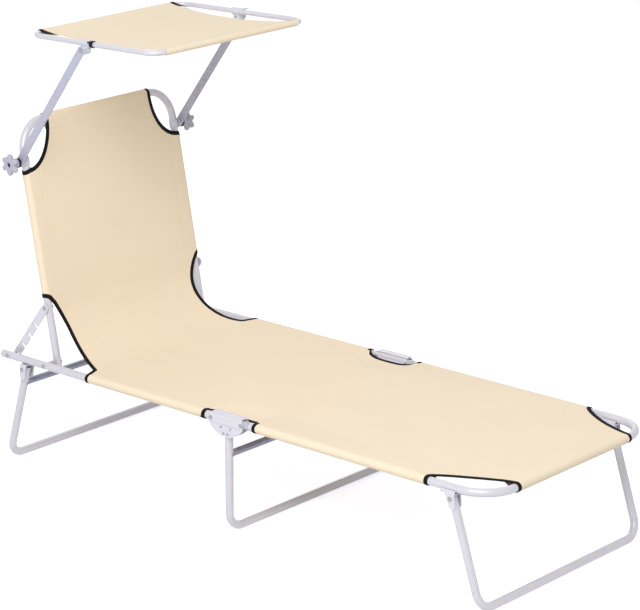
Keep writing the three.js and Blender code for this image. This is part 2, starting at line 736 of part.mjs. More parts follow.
// The clamp round a backrest tube, with the boss that the canopy arm turns on
function armClamp() {
  const x = BACK_HALF_WIDTH;
  const low = KNOB_ALONG - CLAMP.half;
  const high = KNOB_ALONG + CLAMP.half;
  const collar = rod(v3(x, low, 0), v3(x, high, 0), SLEEVE_BORE + CLAMP.wall, SLEEVE_SIDES);
  const boss = rod(v3(x, KNOB_ALONG, 0), v3(x + CLAMP.bossEnd, KNOB_ALONG, 0),
    CLAMP.bossRadius, SLEEVE_SIDES);
  const tunnel = rod(v3(x, low - OVERRUN, 0), v3(x, high + OVERRUN, 0), SLEEVE_BORE, SLEEVE_SIDES);
  const bolt = rod(v3(x, KNOB_ALONG, 0), v3(x + OVERRUN, KNOB_ALONG, 0), PIN_RADIUS + GAP, PIN_SIDES);
  return cut(join(collar, boss), tunnel, bolt);
}

const KNOB = { radius: 21.5, lobe: 3.5, star: 12, hubRadius: 12, hub: 12, washer: 7, washerRadius: 11 };
const KNOB_LOBES = 6;
const KNOB_POINTS = 36;
const KNOB_CHAMFER = 2;
const KNOB_RECESS = { radius: 4.5, depth: 3 };
const WASHER_START = ARM_OUTER + GAP;
const HUB_START = WASHER_START + KNOB.washer + GAP;
const STAR_START = HUB_START + KNOB.hub;
const KNOB_FACE = STAR_START + KNOB.star;
const BOLT_END = KNOB_FACE - KNOB_RECESS.depth - TUBE_WALL - GAP;

const clampBolt = () =>
  pin(BACK_HALF_WIDTH + TUBE_RADIUS + 2 * GAP, BOLT_END, KNOB_ALONG, 0, { start: false, end: false });

function washer() {
  const at = (x) => v3(x, 0, 0);
  const disc = rod(at(WASHER_START), at(WASHER_START + KNOB.washer), KNOB.washerRadius, SLEEVE_SIDES);
  return cut(disc, crossHole(0, 0));
}

// A star knob: a lobed head on a round hub, bored for the bolt, with a recess in its face
function knob() {
  const star = (inset) => new THREE.Shape(Array.from({ length: KNOB_POINTS }, (_, i) => {
    const angle = 2 * Math.PI * i / KNOB_POINTS;
    const radius = KNOB.radius - inset + KNOB.lobe * Math.cos(KNOB_LOBES * angle);
    return new THREE.Vector2(radius * Math.cos(angle), radius * Math.sin(angle));
  }));
  const head = new THREE.ExtrudeGeometry(star(KNOB_CHAMFER), {
    depth: KNOB.star - 2 * KNOB_CHAMFER,
    bevelThickness: KNOB_CHAMFER,
    bevelSize: KNOB_CHAMFER,
    bevelSegments: 1,
  });
  head.translate(0, 0, KNOB_CHAMFER).rotateY(Math.PI / 2).translate(STAR_START, 0, 0);
  const hub = rod(v3(HUB_START, 0, 0), v3(STAR_START + KNOB_CHAMFER, 0, 0), KNOB.hubRadius, SLEEVE_SIDES);
  const bore = rod(v3(HUB_START - OVERRUN, 0, 0), v3(BOLT_END + GAP, 0, 0), PIN_RADIUS + GAP, PIN_SIDES);
  const recess = rod(v3(KNOB_FACE - KNOB_RECESS.depth, 0, 0), v3(KNOB_FACE + OVERRUN, 0, 0),
    KNOB_RECESS.radius, PIN_SIDES);
  return cut(join(solid(head), hub), bore, recess);
}

// The strip with round-bottomed notches that drops over the ratchet pin; local Y runs down its length
function strut(reach) {
  const half = STRUT.width / 2;
  const outline = roundedBar(-STRUT.nose, reach + STRUT.tail, half);
  const notches = NOTCH_SHARES.map((share) => {
    const y = reach * share;
    const slot = new THREE.Shape();
    slot.absarc(y, 0, NOTCH_HALF_WIDTH, Math.PI, 0, true);
    slot.lineTo(y + NOTCH_HALF_WIDTH + GAP, -half - GAP);
    slot.lineTo(y - NOTCH_HALF_WIDTH - GAP, -half - GAP);
    return plateAcross(slot, STRUT_INNER - OVERRUN, STRUT_OUTER + OVERRUN);
  });
  return cut(plateAcross(outline, STRUT_INNER, STRUT_OUTER), ...notches, crossHole(0, 0));
}

// A flat bar's outline with round ends, in Y and Z
function roundedBar(low, high, half) {
  const shape = new THREE.Shape();
  shape.absarc(high - half, 0, half, -Math.PI / 2, Math.PI / 2, false);
  shape.absarc(low + half, 0, half, Math.PI / 2, 3 * Math.PI / 2, false);
  return shape;
}

// The rivet that a strut swings on, through the backrest tube
const strutPin = () =>
  pin(BACK_HALF_WIDTH - TUBE_RADIUS - GAP, STRUT_OUTER + GAP, STRUT.grip, 0);

// From the strut's rivet to the ratchet pin, in the backrest's own frame
function strutLine() {
  const toPin = new THREE.Vector2(RATCHET_PIN_ALONG - BACK_PIVOT_ALONG, 0);
  toPin.rotateAround(new THREE.Vector2(), -radians(BACK_ANGLE_DEG));
  const line = toPin.sub(new THREE.Vector2(STRUT.grip, 0));
  return { reach: line.length(), angle: line.angle() };
}

// Canopy: arms, clips, the round-cornered frame and its fabric

const CANOPY = { half: BACK_HALF_WIDTH, front: 209, rear: 178, tube: 6, wall: 0.9, corner: 34, drop: 13 };
const CANOPY_SIDES = 12;
const CANOPY_LEVEL_DEG = -1.4;
const CLIP = { wall: 2.2, half: 13, lugRadius: 10, pinRadius: 2.5 };
const CLIP_PIN = { radius: CLIP.pinRadius, headRadius: 4.6, headHeight: 1.6 };
const ARM_TIP = { radius: CLIP.pinRadius + GAP };

function canopyArm() {
  const bar = plateAcross(roundedBar(-ARM.end, ARM.length + ARM.end, ARM.width / 2), ARM_INNER, ARM_OUTER);
  const tip = rod(v3(0, ARM.length, 0), v3(ARM_OUTER + OVERRUN, ARM.length, 0), ARM_TIP.radius, PIN_SIDES);
  return cut(bar, crossHole(0, 0), tip);
}

// Half of the canopy's frame, from the clips round one end bar
function canopyHalf(end) {
  const start = Math.sign(end) * GAP / 2;
  const corners = [
    v3(-CANOPY.half, start, 0),
    v3(-CANOPY.half, end, 0),
    v3(CANOPY.half, end, 0),
    v3(CANOPY.half, start, 0),
  ];
  return tube(corners, CANOPY.tube, CANOPY.wall, CANOPY.corner, CANOPY_SIDES);
}

// The clip that joins the frame halves and hangs them from the arm's tip
function canopyClip() {
  const bore = CANOPY.tube + GAP;
  const x = CANOPY.half;
  const at = (y) => v3(x, y, 0);
  const collar = rod(at(-CLIP.half), at(CLIP.half), bore + CLIP.wall, SLEEVE_SIDES);
  const lugEnd = ARM_INNER - GAP;
  const lug = rod(v3(x, 0, -CANOPY.drop), v3(lugEnd, 0, -CANOPY.drop), CLIP.lugRadius, SLEEVE_SIDES);
  const tunnel = rod(at(-CLIP.half - OVERRUN), at(CLIP.half + OVERRUN), bore, SLEEVE_SIDES);
  const pinHole = rod(v3(0, 0, -CANOPY.drop), v3(lugEnd + OVERRUN, 0, -CANOPY.drop),
    CLIP.pinRadius + GAP, PIN_SIDES);
  return cut(join(collar, lug), tunnel, pinHole);
}

const clipPin = () =>
  pin(CANOPY.half - GAP, ARM_OUTER + GAP, 0, -CANOPY.drop, { start: true, end: true }, CLIP_PIN);

// The black locking tab beside a clip: a collar with a wing
const LOCK = { half: 6, wall: 1.8, wing: 13, wingThickness: 3, centre: -20 };

function canopyLock() {
  const bore = CANOPY.tube + GAP;
  const x = CANOPY.half;
  const low = LOCK.centre - LOCK.half;
  const high = LOCK.centre + LOCK.half;
  const collar = rod(v3(x, low, 0), v3(x, high, 0), bore + LOCK.wall, SLEEVE_SIDES);
  const wing = block(
    v3(x, low, bore - LOCK.wingThickness + LOCK.wall),
    v3(x + bore + LOCK.wing, high, bore + LOCK.wall));
  const tunnel = rod(v3(x, low - OVERRUN, 0), v3(x, high + OVERRUN, 0), bore, SLEEVE_SIDES);
  return cut(join(collar, wing), tunnel);
}

// The canopy's fabric: hemmed round both end bars, its sides drawn in
const SHADE_INSET = 31;
const SHADE_END_INSET = 38;
const SHADE = {
  waist: CANOPY.half - SHADE_INSET,
  endHalf: CANOPY.half - SHADE_END_INSET,
  flarePower: 3,
  steps: 10,
};

// The fabric's outline seen from above, its sides drawn in between the end bars
function shadeOutline() {
  const overhang = CANOPY.tube + GAP + CLOTH;
  const reach = CANOPY.front + CANOPY.rear + 2 * overhang;
  const right = Array.from({ length: SHADE.steps + 1 }, (_, i) => {
    const share = i / SHADE.steps;
    const flare = Math.abs(2 * share - 1) ** SHADE.flarePower;
    const half = SHADE.waist - (SHADE.waist - SHADE.endHalf) * flare;
    return new THREE.Vector2(half, -CANOPY.front - overhang + reach * share);
  });
  const left = right.map(({ x, y }) => new THREE.Vector2(-x, y)).reverse();
  return drawnUp(new THREE.Shape([...right, ...left]), -OVERRUN, OVERRUN);
}

function shadeSling() {
  const bore = CANOPY.tube + GAP;
  const web = block(
    v3(-CANOPY.half, -CANOPY.front, bore), v3(CANOPY.half, CANOPY.rear, bore + CLOTH));
  const bars = [-CANOPY.front, CANOPY.rear];
  const raw = cut(
    join(web, ...bars.map((y) => barSleeve(CANOPY.half, y, bore + CLOTH))),
    ...bars.map((y) => barSleeve(CANOPY.half + OVERRUN, y, bore)));
  return raw.intersect(shadeOutline());
}

function canopy() {
  const group = new THREE.Group();
  group.add(piece('canopy_frame_front', canopyHalf(-CANOPY.front), STEEL));
  group.add(piece('canopy_frame_rear', canopyHalf(CANOPY.rear), STEEL));
  for (const [name, side] of SIDES) {
    group.add(piece(`canopy_clip_${name}`, mirrored(canopyClip(), side), PLATE_STEEL));
    group.add(piece(`canopy_clip_pin_${name}`, mirrored(clipPin(), side), BARE_STEEL));
    group.add(piece(`canopy_lock_${name}`, mirrored(canopyLock(), side), BLACK_PLASTIC));
  }
  group.add(piece('canopy_sling', shadeSling(), FABRIC));
  return group;
}

// The canopy hangs below its pivot pins, which the arms' tips carry
function canopyArms() {
  const group = new THREE.Group();
  for (const [name, side] of SIDES) {
    group.add(piece(`canopy_arm_${name}`, mirrored(canopyArm(), side), STEEL));
    group.add(piece(`arm_washer_${name}`, mirrored(washer(), side), BLACK_PLASTIC));
  }
  const tilt = radians(CANOPY_LEVEL_DEG - BACK_ANGLE_DEG - ARM.leanDeg);
  const hanger = new THREE.Group();
  hanger.position.y = ARM.length;
  hanger.rotation.x = tilt;
  const shade = canopy();
  shade.position.z = CANOPY.drop;
  hanger.add(shade);
  group.add(hanger);
  group.position.y = KNOB_ALONG;
  group.rotation.x = radians(ARM.leanDeg);
  return group;
}

function backrest() {
  const group = new THREE.Group();
  group.add(piece('backrest_frame', backFrame(), STEEL));
  group.add(piece('back_sling', backSling(), FABRIC));
  const { reach, angle } = strutLine();
  for (const [name, side] of SIDES) {
    group.add(piece(`arm_clamp_${name}`, mirrored(armClamp(), side), GREY_PLASTIC));
    group.add(piece(`arm_bolt_${name}`, mirrored(clampBolt(), side), BARE_STEEL));
    group.add(piece(`strut_pin_${name}`, mirrored(strutPin(), side), BARE_STEEL));
    const star = piece(`knob_${name}`, mirrored(knob(), side), GREY_PLASTIC);
    star.position.y = KNOB_ALONG;
    group.add(star);
    const strip = piece(`ratchet_strut_${name}`, mirrored(strut(reach), side), PLATE_STEEL);
    strip.position.y = STRUT.grip;
    strip.rotation.x = angle;
    group.add(strip);
  }
  group.add(canopyArms());
  group.position.y = BACK_PIVOT_ALONG;
  group.rotation.x = radians(BACK_ANGLE_DEG);
  return group;
}

// The whole lounger, with its origin on the floor under the middle of its length
function lounger() {
  const frame = new THREE.Group();
  frame.add(seatSection());
  frame.add(foldingLeg('rear_leg', REAR_LEG));
  frame.add(middleSupport());
  frame.add(footSection());
  frame.add(foldingLeg('foot_leg', FOOT_LEG));
  frame.add(backrest());
  const bar = piece('rear_leg_crossbar', crossbar(REAR_LEG.half, REAR_CROSSBAR_DROP), STEEL);
  bar.position.set(0, REAR_LEG.along, -LEG_DROP);
  bar.rotation.x = legLean(REAR_LEG);
  frame.add(bar);
  frame.updateMatrixWorld(true);
  const bounds = new THREE.Box3().setFromObject(frame, true);
  frame.position.set(0, -(bounds.min.y + bounds.max.y) / 2, -bounds.min.z);
  const whole = new THREE.Group();
  whole.add(frame);
  return whole;
}

export default lounger();
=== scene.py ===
import json
from math import acos, atan2, copysign, cos, degrees, exp, hypot, pi, radians, sin, sqrt, tan

import bmesh
import bpy
import numpy as np
from mathutils import Matrix, Vector, kdtree


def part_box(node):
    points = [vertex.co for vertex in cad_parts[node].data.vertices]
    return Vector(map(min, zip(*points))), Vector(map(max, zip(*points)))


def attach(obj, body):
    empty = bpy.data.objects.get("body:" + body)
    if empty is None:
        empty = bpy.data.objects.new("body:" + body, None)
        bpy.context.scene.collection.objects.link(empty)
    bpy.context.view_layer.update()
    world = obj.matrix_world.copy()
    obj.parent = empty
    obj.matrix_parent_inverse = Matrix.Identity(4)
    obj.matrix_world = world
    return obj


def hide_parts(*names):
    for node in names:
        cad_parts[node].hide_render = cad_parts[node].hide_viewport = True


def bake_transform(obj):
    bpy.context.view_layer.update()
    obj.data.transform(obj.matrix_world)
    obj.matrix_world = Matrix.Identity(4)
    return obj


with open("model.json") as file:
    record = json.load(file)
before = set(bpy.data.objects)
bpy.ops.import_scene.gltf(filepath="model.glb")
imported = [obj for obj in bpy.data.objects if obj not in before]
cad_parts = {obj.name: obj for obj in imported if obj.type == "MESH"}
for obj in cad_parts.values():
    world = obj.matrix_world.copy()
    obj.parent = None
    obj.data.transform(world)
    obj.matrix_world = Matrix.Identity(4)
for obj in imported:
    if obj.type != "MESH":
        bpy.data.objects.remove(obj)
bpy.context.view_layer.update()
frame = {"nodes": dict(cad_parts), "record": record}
record = frame["record"]
SLOT = {row["node"]: row["material_slot"] for row in record["subparts"]}
BODY = {node: body for body, members in record["behaviour"]["bodies"].items() for node in members}

X_AXIS = Vector((1, 0, 0))
Y_AXIS = Vector((0, 1, 0))
Z_AXIS = Vector((0, 0, 1))
SIDES = (("left", -X_AXIS), ("right", X_AXIS))


# Places read from the frame

def middle(node):
    """The centre of a CAD node's box."""
    low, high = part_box(node)
    return (low + high) / 2


def side_view(y, z):
    return Vector((0, y, z))


def axle(node):
    """A pin's place in the side view, on the middle line."""
    return side_view(*middle(node).yz)


rail_low, rail_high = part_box("seat_rail_right")
RAIL = middle("seat_rail_right")
TUBE_RADIUS = (rail_high.x - rail_low.x) / 2
MIDDLE_Y = middle("mid_leg").y
FOOT_BAR_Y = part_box("foot_frame")[0].y + TUBE_RADIUS
BACK_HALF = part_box("backrest_frame")[1].x - TUBE_RADIUS
BACK_PIVOT = axle("backrest_pivot_pin_right")
BACK_UP = (axle("arm_bolt_right") - BACK_PIVOT).normalized()
BACK_FRONT = side_view(-BACK_UP.z, BACK_UP.y)
CANOPY_HINGE = axle("canopy_clip_pin_right")

# Sizes that the CAD model also has
TUBE_WALL = 0.0011
TUBE_END = 0.005
FOOT_CORNER = 0.080
BACK_LENGTH = 0.555
BACK_CORNER = 0.070
BACK_TAIL = 0.010
LEG_CORNER = 0.038
SPLAY = {"rear_leg": 0.065, "foot_leg": -0.074}
CROSSBAR_RADIUS = 0.008
CROSSBAR_DROP = 0.077
REAR_CROSSBAR_DROP = 0.038
CANOPY_FRONT = 0.209
CANOPY_REAR = 0.178
CANOPY_TUBE = 0.006
CANOPY_WALL = 0.0009
CANOPY_CORNER = 0.034
CANOPY_DROP = 0.013
CANOPY_GAP = 0.00015
CANOPY_SLOPE = radians(-1.4)
CANOPY_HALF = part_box("canopy_frame_front")[1].x - CANOPY_TUBE
ARM_HALF = 0.010

CANOPY_ALONG = side_view(cos(CANOPY_SLOPE), sin(CANOPY_SLOPE))
CANOPY_NORMAL = side_view(-sin(CANOPY_SLOPE), cos(CANOPY_SLOPE))


def on_rail(y, up=0.0):
    return side_view(y, RAIL.z) + Z_AXIS * up


def on_back(along, out=0.0):
    return BACK_PIVOT + BACK_UP * along + BACK_FRONT * out


def on_canopy(along, out=0.0):
    return CANOPY_HINGE + CANOPY_NORMAL * (CANOPY_DROP + out) + CANOPY_ALONG * along


# Small helpers

def smooth(value):
    """A soft step from 0 to 1."""
    value = min(1, max(0, value))
    return value * value * (3 - 2 * value)


def steps(count, low=0, high=1):
    """Values from low to high in a number of even steps."""
    return [low + (high - low) * i / count for i in range(count + 1)]


def circle(count):
    """Evenly spaced angles round a circle."""
    return steps(count, 0, 2 * pi)[:-1]


def made(thing, **settings):
    """The given thing, after its settings are made."""
    for name, value in settings.items():
        setattr(thing, name, value)
    return thing


def shown(name, data):
    """A new object in the scene."""
    thing = bpy.data.objects.new(name, data)
    bpy.context.scene.collection.objects.link(thing)
    return thing


# Node materials

def feed(tree, socket, value):
    """Links an output to a socket, or sets the socket to a value."""
    if isinstance(value, bpy.types.NodeSocket):
        tree.links.new(value, socket)
    else:
        socket.default_value = value


def add_node(tree, kind, inputs=None, **settings):
    node = made(tree.nodes.new("ShaderNode" + kind), **settings)
    for name, value in (inputs or {}).items():
        feed(tree, node.inputs[name], value)
    return node


def white_rays(tree):
    """1 for rays that have to meet white: from the camera, let through or mirrored."""
    rays = add_node(tree, "LightPath").outputs
    seen = rays["Is Camera Ray"]
    for other in ("Is Transmission Ray", "Is Glossy Ray"):
        seen = add_node(tree, "Math", {0: seen, 1: rays[other]}, operation="MAXIMUM").outputs[0]
    return seen


class Finish:
    """A node material under construction, with a Principled shader."""

    def __init__(self, name, **sockets):
        self.material = bpy.data.materials.new(name)
        self.material.use_nodes = True
        self.tree = self.material.node_tree
        self.set(**sockets)

    def set(self, **sockets):
        """Sets or links the shader's sockets, written with _ for a space."""
        shader = self.tree.nodes["Principled BSDF"]
        for name, value in sockets.items():
            feed(self.tree, shader.inputs[name.replace("_", " ")], value)

    def node(self, kind, inputs=None, **settings):
        return add_node(self.tree, kind, inputs, **settings)

    def noise(self, vector, scale, detail):
        made_of = {"Vector": vector, "Scale": scale, "Detail": detail}
        return self.node("TexNoise", made_of).outputs["Fac"]

    def stored(self, name):
        """The parts of a vector that the mesh keeps for each vertex."""
        vector = self.node("Attribute", attribute_name=name).outputs["Vector"]
        return self.node("SeparateXYZ", {0: vector}).outputs

    def stretched(self, vector, *scale):
        return self.node("Mapping", {"Vector": vector, "Scale": scale}).outputs[0]

    def calc(self, operation, a, b=0.0):
        return self.node("Math", {0: a, 1: b}, operation=operation).outputs[0]

    def plus(self, a, b):
        return self.calc("ADD", a, b)

    def times(self, a, b):
        return self.calc("MULTIPLY", a, b)

    def wave(self, value, period):
        return self.calc("SINE", self.times(value, 2 * pi / period))

    def stitches(self, off, width, along, period, share):
        """1 on the dashes of a line of stitches, from the distances off it and along it."""
        line = self.calc("LESS_THAN", self.calc("ABSOLUTE", off), width)
        place = self.calc("FRACT", self.calc("DIVIDE", along, period))
        return self.times(line, self.calc("LESS_THAN", place, share))

    def span(self, value, low, high, start, end):
        return self.node("MapRange", {
            "Value": value, "From Min": low, "From Max": high, "To Min": start, "To Max": end}).outputs[0]

    def mix(self, factor, a, b):
        return self.node("Mix", {0: factor, 6: a, 7: b}, data_type="RGBA").outputs[2]

    def bump(self, height, distance, strength, **under):
        inputs = {"Height": height, "Distance": distance, "Strength": strength, **under}
        return self.node("Bump", inputs).outputs["Normal"]


def shade(colour, factor):
    """An RGBA colour with its light scaled by a factor."""
    return tuple(min(1, c * factor) for c in colour) + (1,)


def hard(name, colour, cloud, tones, gloss, roughness, grain, relief, **sockets):
    """A hard surface. Its clouds of tone and of gloss, and its grain, are (scale, detail)."""
    finish = Finish(name, **sockets)
    place = finish.node("TexCoord").outputs["Object"]
    dark, light = (shade(colour, tone) for tone in tones)
    finish.set(Base_Color=finish.mix(finish.noise(place, *cloud), dark, light),
               Roughness=finish.span(finish.noise(place, *gloss), 0.3, 0.7, *roughness),
               Normal=finish.bump(finish.noise(place, *grain), *relief))
    return finish.material


def painted_steel(name, colour, metallic, rough):
    """Smooth powder coat: faint orange peel, and soft patches of gloss."""
    patches = (22, 4)
    return hard(name, colour, patches, (0.95, 1.04), patches, (rough - 0.05, rough + 0.07),
                (900, 2), (0.00006, 0.5), Metallic=metallic)


def bare_metal(name, colour, rough):
    """Plated steel with fine marks from its making."""
    marks = (420, 5)
    return hard(name, colour, (60, 3), (0.86, 1.08), marks, (rough - 0.08, rough + 0.12),
                marks, (0.00008, 0.4), Metallic=0.9)


def moulded(name, colour, rough, specular=0.5):
    """Moulded plastic with a fine spark-eroded grain."""
    cloud = (30, 2)
    return hard(name, colour, cloud, (0.94, 1.05), cloud, (rough - 0.05, rough + 0.05),
                (1400, 2), (0.00006, 0.6), Specular_IOR_Level=specular)


THREAD = 0.0013
STITCH = (0.0042, 0.72)
STITCH_WIDTH = 0.0005
FURROW = 0.003
PUCKERS = (0.006, 0.05)
TAPE_RIB = 0.0011
TAPE_STITCH = (0.0036, 0.7)
TAPE_STITCH_WIDTH = 0.0004
TAPE_STITCH_INSET = 0.0068


def woven(name, colour):
    """Plain-woven cloth: threads over and under, slubs, puckers near bindings, stitched seams."""
    finish = Finish(name, Roughness=0.92, Specular_IOR_Level=0.2, Sheen_Weight=0.08)
    across, along, edge = finish.stored("cloth")
    side, bar, _ = finish.stored("seams")
    weave = finish.times(finish.wave(across, THREAD), finish.wave(along, THREAD))
    flat = finish.node("CombineXYZ", {0: across, 1: along}).outputs[0]
    slubs = finish.noise(finish.stretched(flat, 900, 60, 1), 1, 2)
    tone = finish.plus(finish.times(slubs, 0.5), finish.times(finish.noise(flat, 7, 3), 0.5))
    body = finish.mix(tone, shade(colour, 0.945), shade(colour, 1.035))
    stitches = finish.calc("MAXIMUM", finish.stitches(side, STITCH_WIDTH, along, *STITCH),
                           finish.stitches(bar, STITCH_WIDTH, across, *STITCH))
    furrows = [finish.span(finish.calc("ABSOLUTE", seam), 0, FURROW, -1, 0) for seam in (side, bar)]
    pucker = finish.times(finish.noise(finish.stretched(flat, 70, 70, 1), 1, 1),
                          finish.span(edge, *PUCKERS, 1, 0))
    coarse = finish.plus(finish.calc("MINIMUM", *furrows), finish.times(pucker, 2.6))
    thread = finish.plus(finish.times(weave, 0.5), slubs)
    finish.set(Base_Color=finish.mix(stitches, body, shade(colour, 0.86)),
               Normal=finish.bump(thread, 0.00012, 0.6, Normal=finish.bump(coarse, 0.0007, 0.55)))
    return finish.material


def tape(name, colour):
    """Ribbed polyester binding with a line of stitches along its inner edge."""
    finish = Finish(name, Roughness=0.75, Specular_IOR_Level=0.12)
    length, width, _ = finish.stored("tape")
    off = finish.calc("SUBTRACT", width, TAPE_STITCH_INSET)
    stitches = finish.stitches(off, TAPE_STITCH_WIDTH, length, *TAPE_STITCH)
    dust = finish.noise(finish.node("TexCoord").outputs["Object"], 60, 4)
    body = finish.mix(dust, shade(colour, 0.8), shade(colour, 1.3))
    height = finish.plus(finish.wave(length, TAPE_RIB), finish.times(stitches, 2))
    finish.set(Base_Color=finish.mix(stitches, body, shade(colour, 2.2)),
               Normal=finish.bump(height, 0.00012, 0.6))
    return finish.material


FINISHES = (
    ("frame_paint", painted_steel, (0.62, 0.605, 0.66), 0.15, 0.32),
    # The arms' finish is darker and bluer than the frame's: the arms' own paint, with painted shade from the
    # far arm's shadowed face
    ("arm_paint", painted_steel, (0.46, 0.465, 0.56), 0.1, 0.4),
    # The crossbars' finish is the frame's powder coat made darker and bluer: painted shade from the sling
    # over them
    ("crossbar_paint", painted_steel, (0.27, 0.285, 0.39), 0.45, 0.3),
    ("bracket_plate", painted_steel, (0.64, 0.63, 0.69), 0.25, 0.3),
    ("rivet_steel", bare_metal, (0.36, 0.36, 0.40), 0.32),
    ("grey_plastic", moulded, (0.45, 0.44, 0.53), 0.42),
    ("clip_plastic", moulded, (0.60, 0.61, 0.68), 0.45),
    ("black_plastic", moulded, (0.008, 0.008, 0.010), 0.45, 0.2),
    ("sling_fabric", woven, (0.86, 0.735, 0.555)),
    ("binding", tape, (0.007, 0.005, 0.006)),
)
MATERIALS = {name: make(name, *look) for name, make, *look in FINISHES}


# Meshes

def mesh_piece(name, points, faces, slot, finish=None):
    """A smooth-shaded mesh object in a material slot's finish, or in another finish given in its place."""
    mesh = bpy.data.meshes.new(name)
    mesh.from_pydata([tuple(p) for p in points], [], faces)
    mesh.polygons.foreach_set("use_smooth", [True] * len(mesh.polygons))
    mesh.materials.append(MATERIALS[finish or slot])
    piece = shown(name, mesh)
    return piece


def store(piece, name, values):
    """Keeps a vector for each vertex, for the materials to read."""
    attribute = piece.data.attributes.new(name, "FLOAT_VECTOR", "POINT")
    attribute.data.foreach_set("vector", np.asarray(values, np.float32).ravel())


def loft(rings, closed=False):
    """Points and faces of a skin over rings of equal count, with flat ends or closed on itself."""
    count = len(rings[0])
    points = [p for ring in rings for p in ring]
    faces = []
    for i in range(len(rings) - (0 if closed else 1)):
        near, far = count * i, count * ((i + 1) % len(rings))
        for k in range(count):
            nxt = (k + 1) % count
            faces.append((near + k, near + nxt, far + nxt, far + k))
    if not closed:
        faces.append(tuple(reversed(range(count))))
        faces.append(tuple(range(len(points) - count, len(points))))
    return points, faces


def joined(*shells):
    """Several shells' points and faces as one list."""
    points, faces = [], []
    for more_points, more_faces in shells:
        faces += [tuple(len(points) + k for k in face) for face in more_faces]
        points += more_points
    return points, faces


def edit_mesh(piece, edit):
    work = bmesh.new()
    work.from_mesh(piece.data)
    edit(work)
    work.to_mesh(piece.data)
    work.free()


def finish_edges(piece, sharp):
    """Keeps edges sharper than an angle in degrees crisp under smooth shading."""
    piece.data.set_sharp_from_angle(angle=radians(sharp))


def close_up(piece, sharp=35):
    """Turns the faces of a closed mesh to face out, and finishes its edges."""
    edit_mesh(piece, lambda work: bmesh.ops.recalc_face_normals(work, faces=work.faces))
    finish_edges(piece, sharp)


def stand_in(name, shell, replaced, sharp=35, finish=None):
    """A piece with the slot, body and place of the CAD node that it replaces."""
    piece = mesh_piece(name, *shell, SLOT[replaced], finish)
    close_up(piece, sharp)
    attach(piece, BODY[replaced])
    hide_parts(replaced)


def trim(name, shells, slot, body):
    """A small piece that stands for no CAD node."""
    piece = mesh_piece(name, *joined(*shells), slot)
    close_up(piece)
    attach(piece, body)


# Bent tubes

TUBE_SIDES = 28
BEND_STEPS = 18
MOUTH_DEPTH = 0.03
MOUTH_ROUND = 0.0003


def bent_path(corners, bend):
    """Stations along straight runs joined by round bends, as (point, tangent)."""
    heading = [(b - a).normalized() for a, b in zip(corners, corners[1:])]
    stations = [(corners[0], heading[0])]
    for corner, into, out in zip(corners[1:], heading, heading[1:]):
        turn = into.angle(out)
        inward = (out - into * out.dot(into)).normalized()
        start = corner - into * bend * tan(turn / 2)
        for angle in steps(BEND_STEPS, 0, turn):
            point = start + into * bend * sin(angle) + inward * bend * (1 - cos(angle))
            stations.append((point, into * cos(angle) + inward * sin(angle)))
    stations.append((corners[-1], heading[-1]))
    return stations


def tube(name, replaced, corners, bend, radius=TUBE_RADIUS, wall=TUBE_WALL):
    """A hollow bent tube with open, slightly rounded mouths."""
    run = corners[1] - corners[0]
    across = run.cross(corners[-1] - corners[0])
    if across.length < 1e-9:
        # A straight tube has no plane of its own
        across = run.cross(Vector((0.3, 0.5, 1)))
    across.normalize()

    def ring(point, tangent, size):
        up = across.cross(tangent)
        return [point + size * (cos(a) * across + sin(a) * up) for a in circle(TUBE_SIDES)]

    def mouth(point, tangent, way):
        """Rings from inside the bore, round the lip, to the tube's outside."""
        lip = ((MOUTH_DEPTH, wall), (0, wall), (0, MOUTH_ROUND), (MOUTH_ROUND, 0))
        return [ring(point + tangent * way * depth, tangent, radius - less) for depth, less in lip]

    first, *between, last = bent_path(corners, bend)
    rings = [ring(point, tangent, radius) for point, tangent in between]
    rings = mouth(*first, 1) + rings + mouth(*last, -1)[::-1]
    stand_in(name, loft(rings), replaced)


def u_shape(half, near, far):
    """Corners of a U: two side runs from near, joined at far."""
    side = X_AXIS * half
    return [near - side, far - side, far + side, near + side]


def leg_line(leg):
    """A folding leg's pivot, the unit vector down to its floor bar, and its length."""
    pivot = axle(leg + "_pin_right")
    fall = side_view(SPLAY[leg], TUBE_RADIUS - pivot.z)
    return pivot, fall.normalized(), fall.length


def make_tubes():
    for name, out in SIDES:
        run = [on_rail(y) + out * RAIL.x for y in (rail_low.y, rail_high.y)]
        tube(f"rail_tube_{name}", f"seat_rail_{name}", run, 0)
    start = on_rail(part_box("foot_frame")[1].y)
    tube("foot_tube", "foot_frame", u_shape(RAIL.x, start, on_rail(FOOT_BAR_Y)), FOOT_CORNER)
    back = u_shape(BACK_HALF, on_back(-BACK_TAIL), on_back(BACK_LENGTH))
    tube("back_tube", "backrest_frame", back, BACK_CORNER)
    for leg in SPLAY:
        pivot, down, length = leg_line(leg)
        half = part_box(leg)[1].x - TUBE_RADIUS
        tube(leg + "_tube", leg, u_shape(half, pivot - down * TUBE_END, pivot + down * length), LEG_CORNER)
    top = side_view(MIDDLE_Y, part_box("mid_leg")[1].z)
    tube("mid_leg_tube", "mid_leg", u_shape(RAIL.x, top, side_view(MIDDLE_Y, TUBE_RADIUS)), LEG_CORNER)
    for end, reach in (("front", -CANOPY_FRONT), ("rear", CANOPY_REAR)):
        half = u_shape(CANOPY_HALF, on_canopy(copysign(CANOPY_GAP, reach)), on_canopy(reach))
        tube(f"canopy_tube_{end}", f"canopy_frame_{end}", half, CANOPY_CORNER, CANOPY_TUBE, CANOPY_WALL)


# Crossbars, coped to sit on their uprights, with a bead of weld at each end

BEAD = 0.0016
BEAD_SHAPE = ((1, 0), (0.7, 0.7), (0, 1.2))
BAR_INSIDE = 0.02


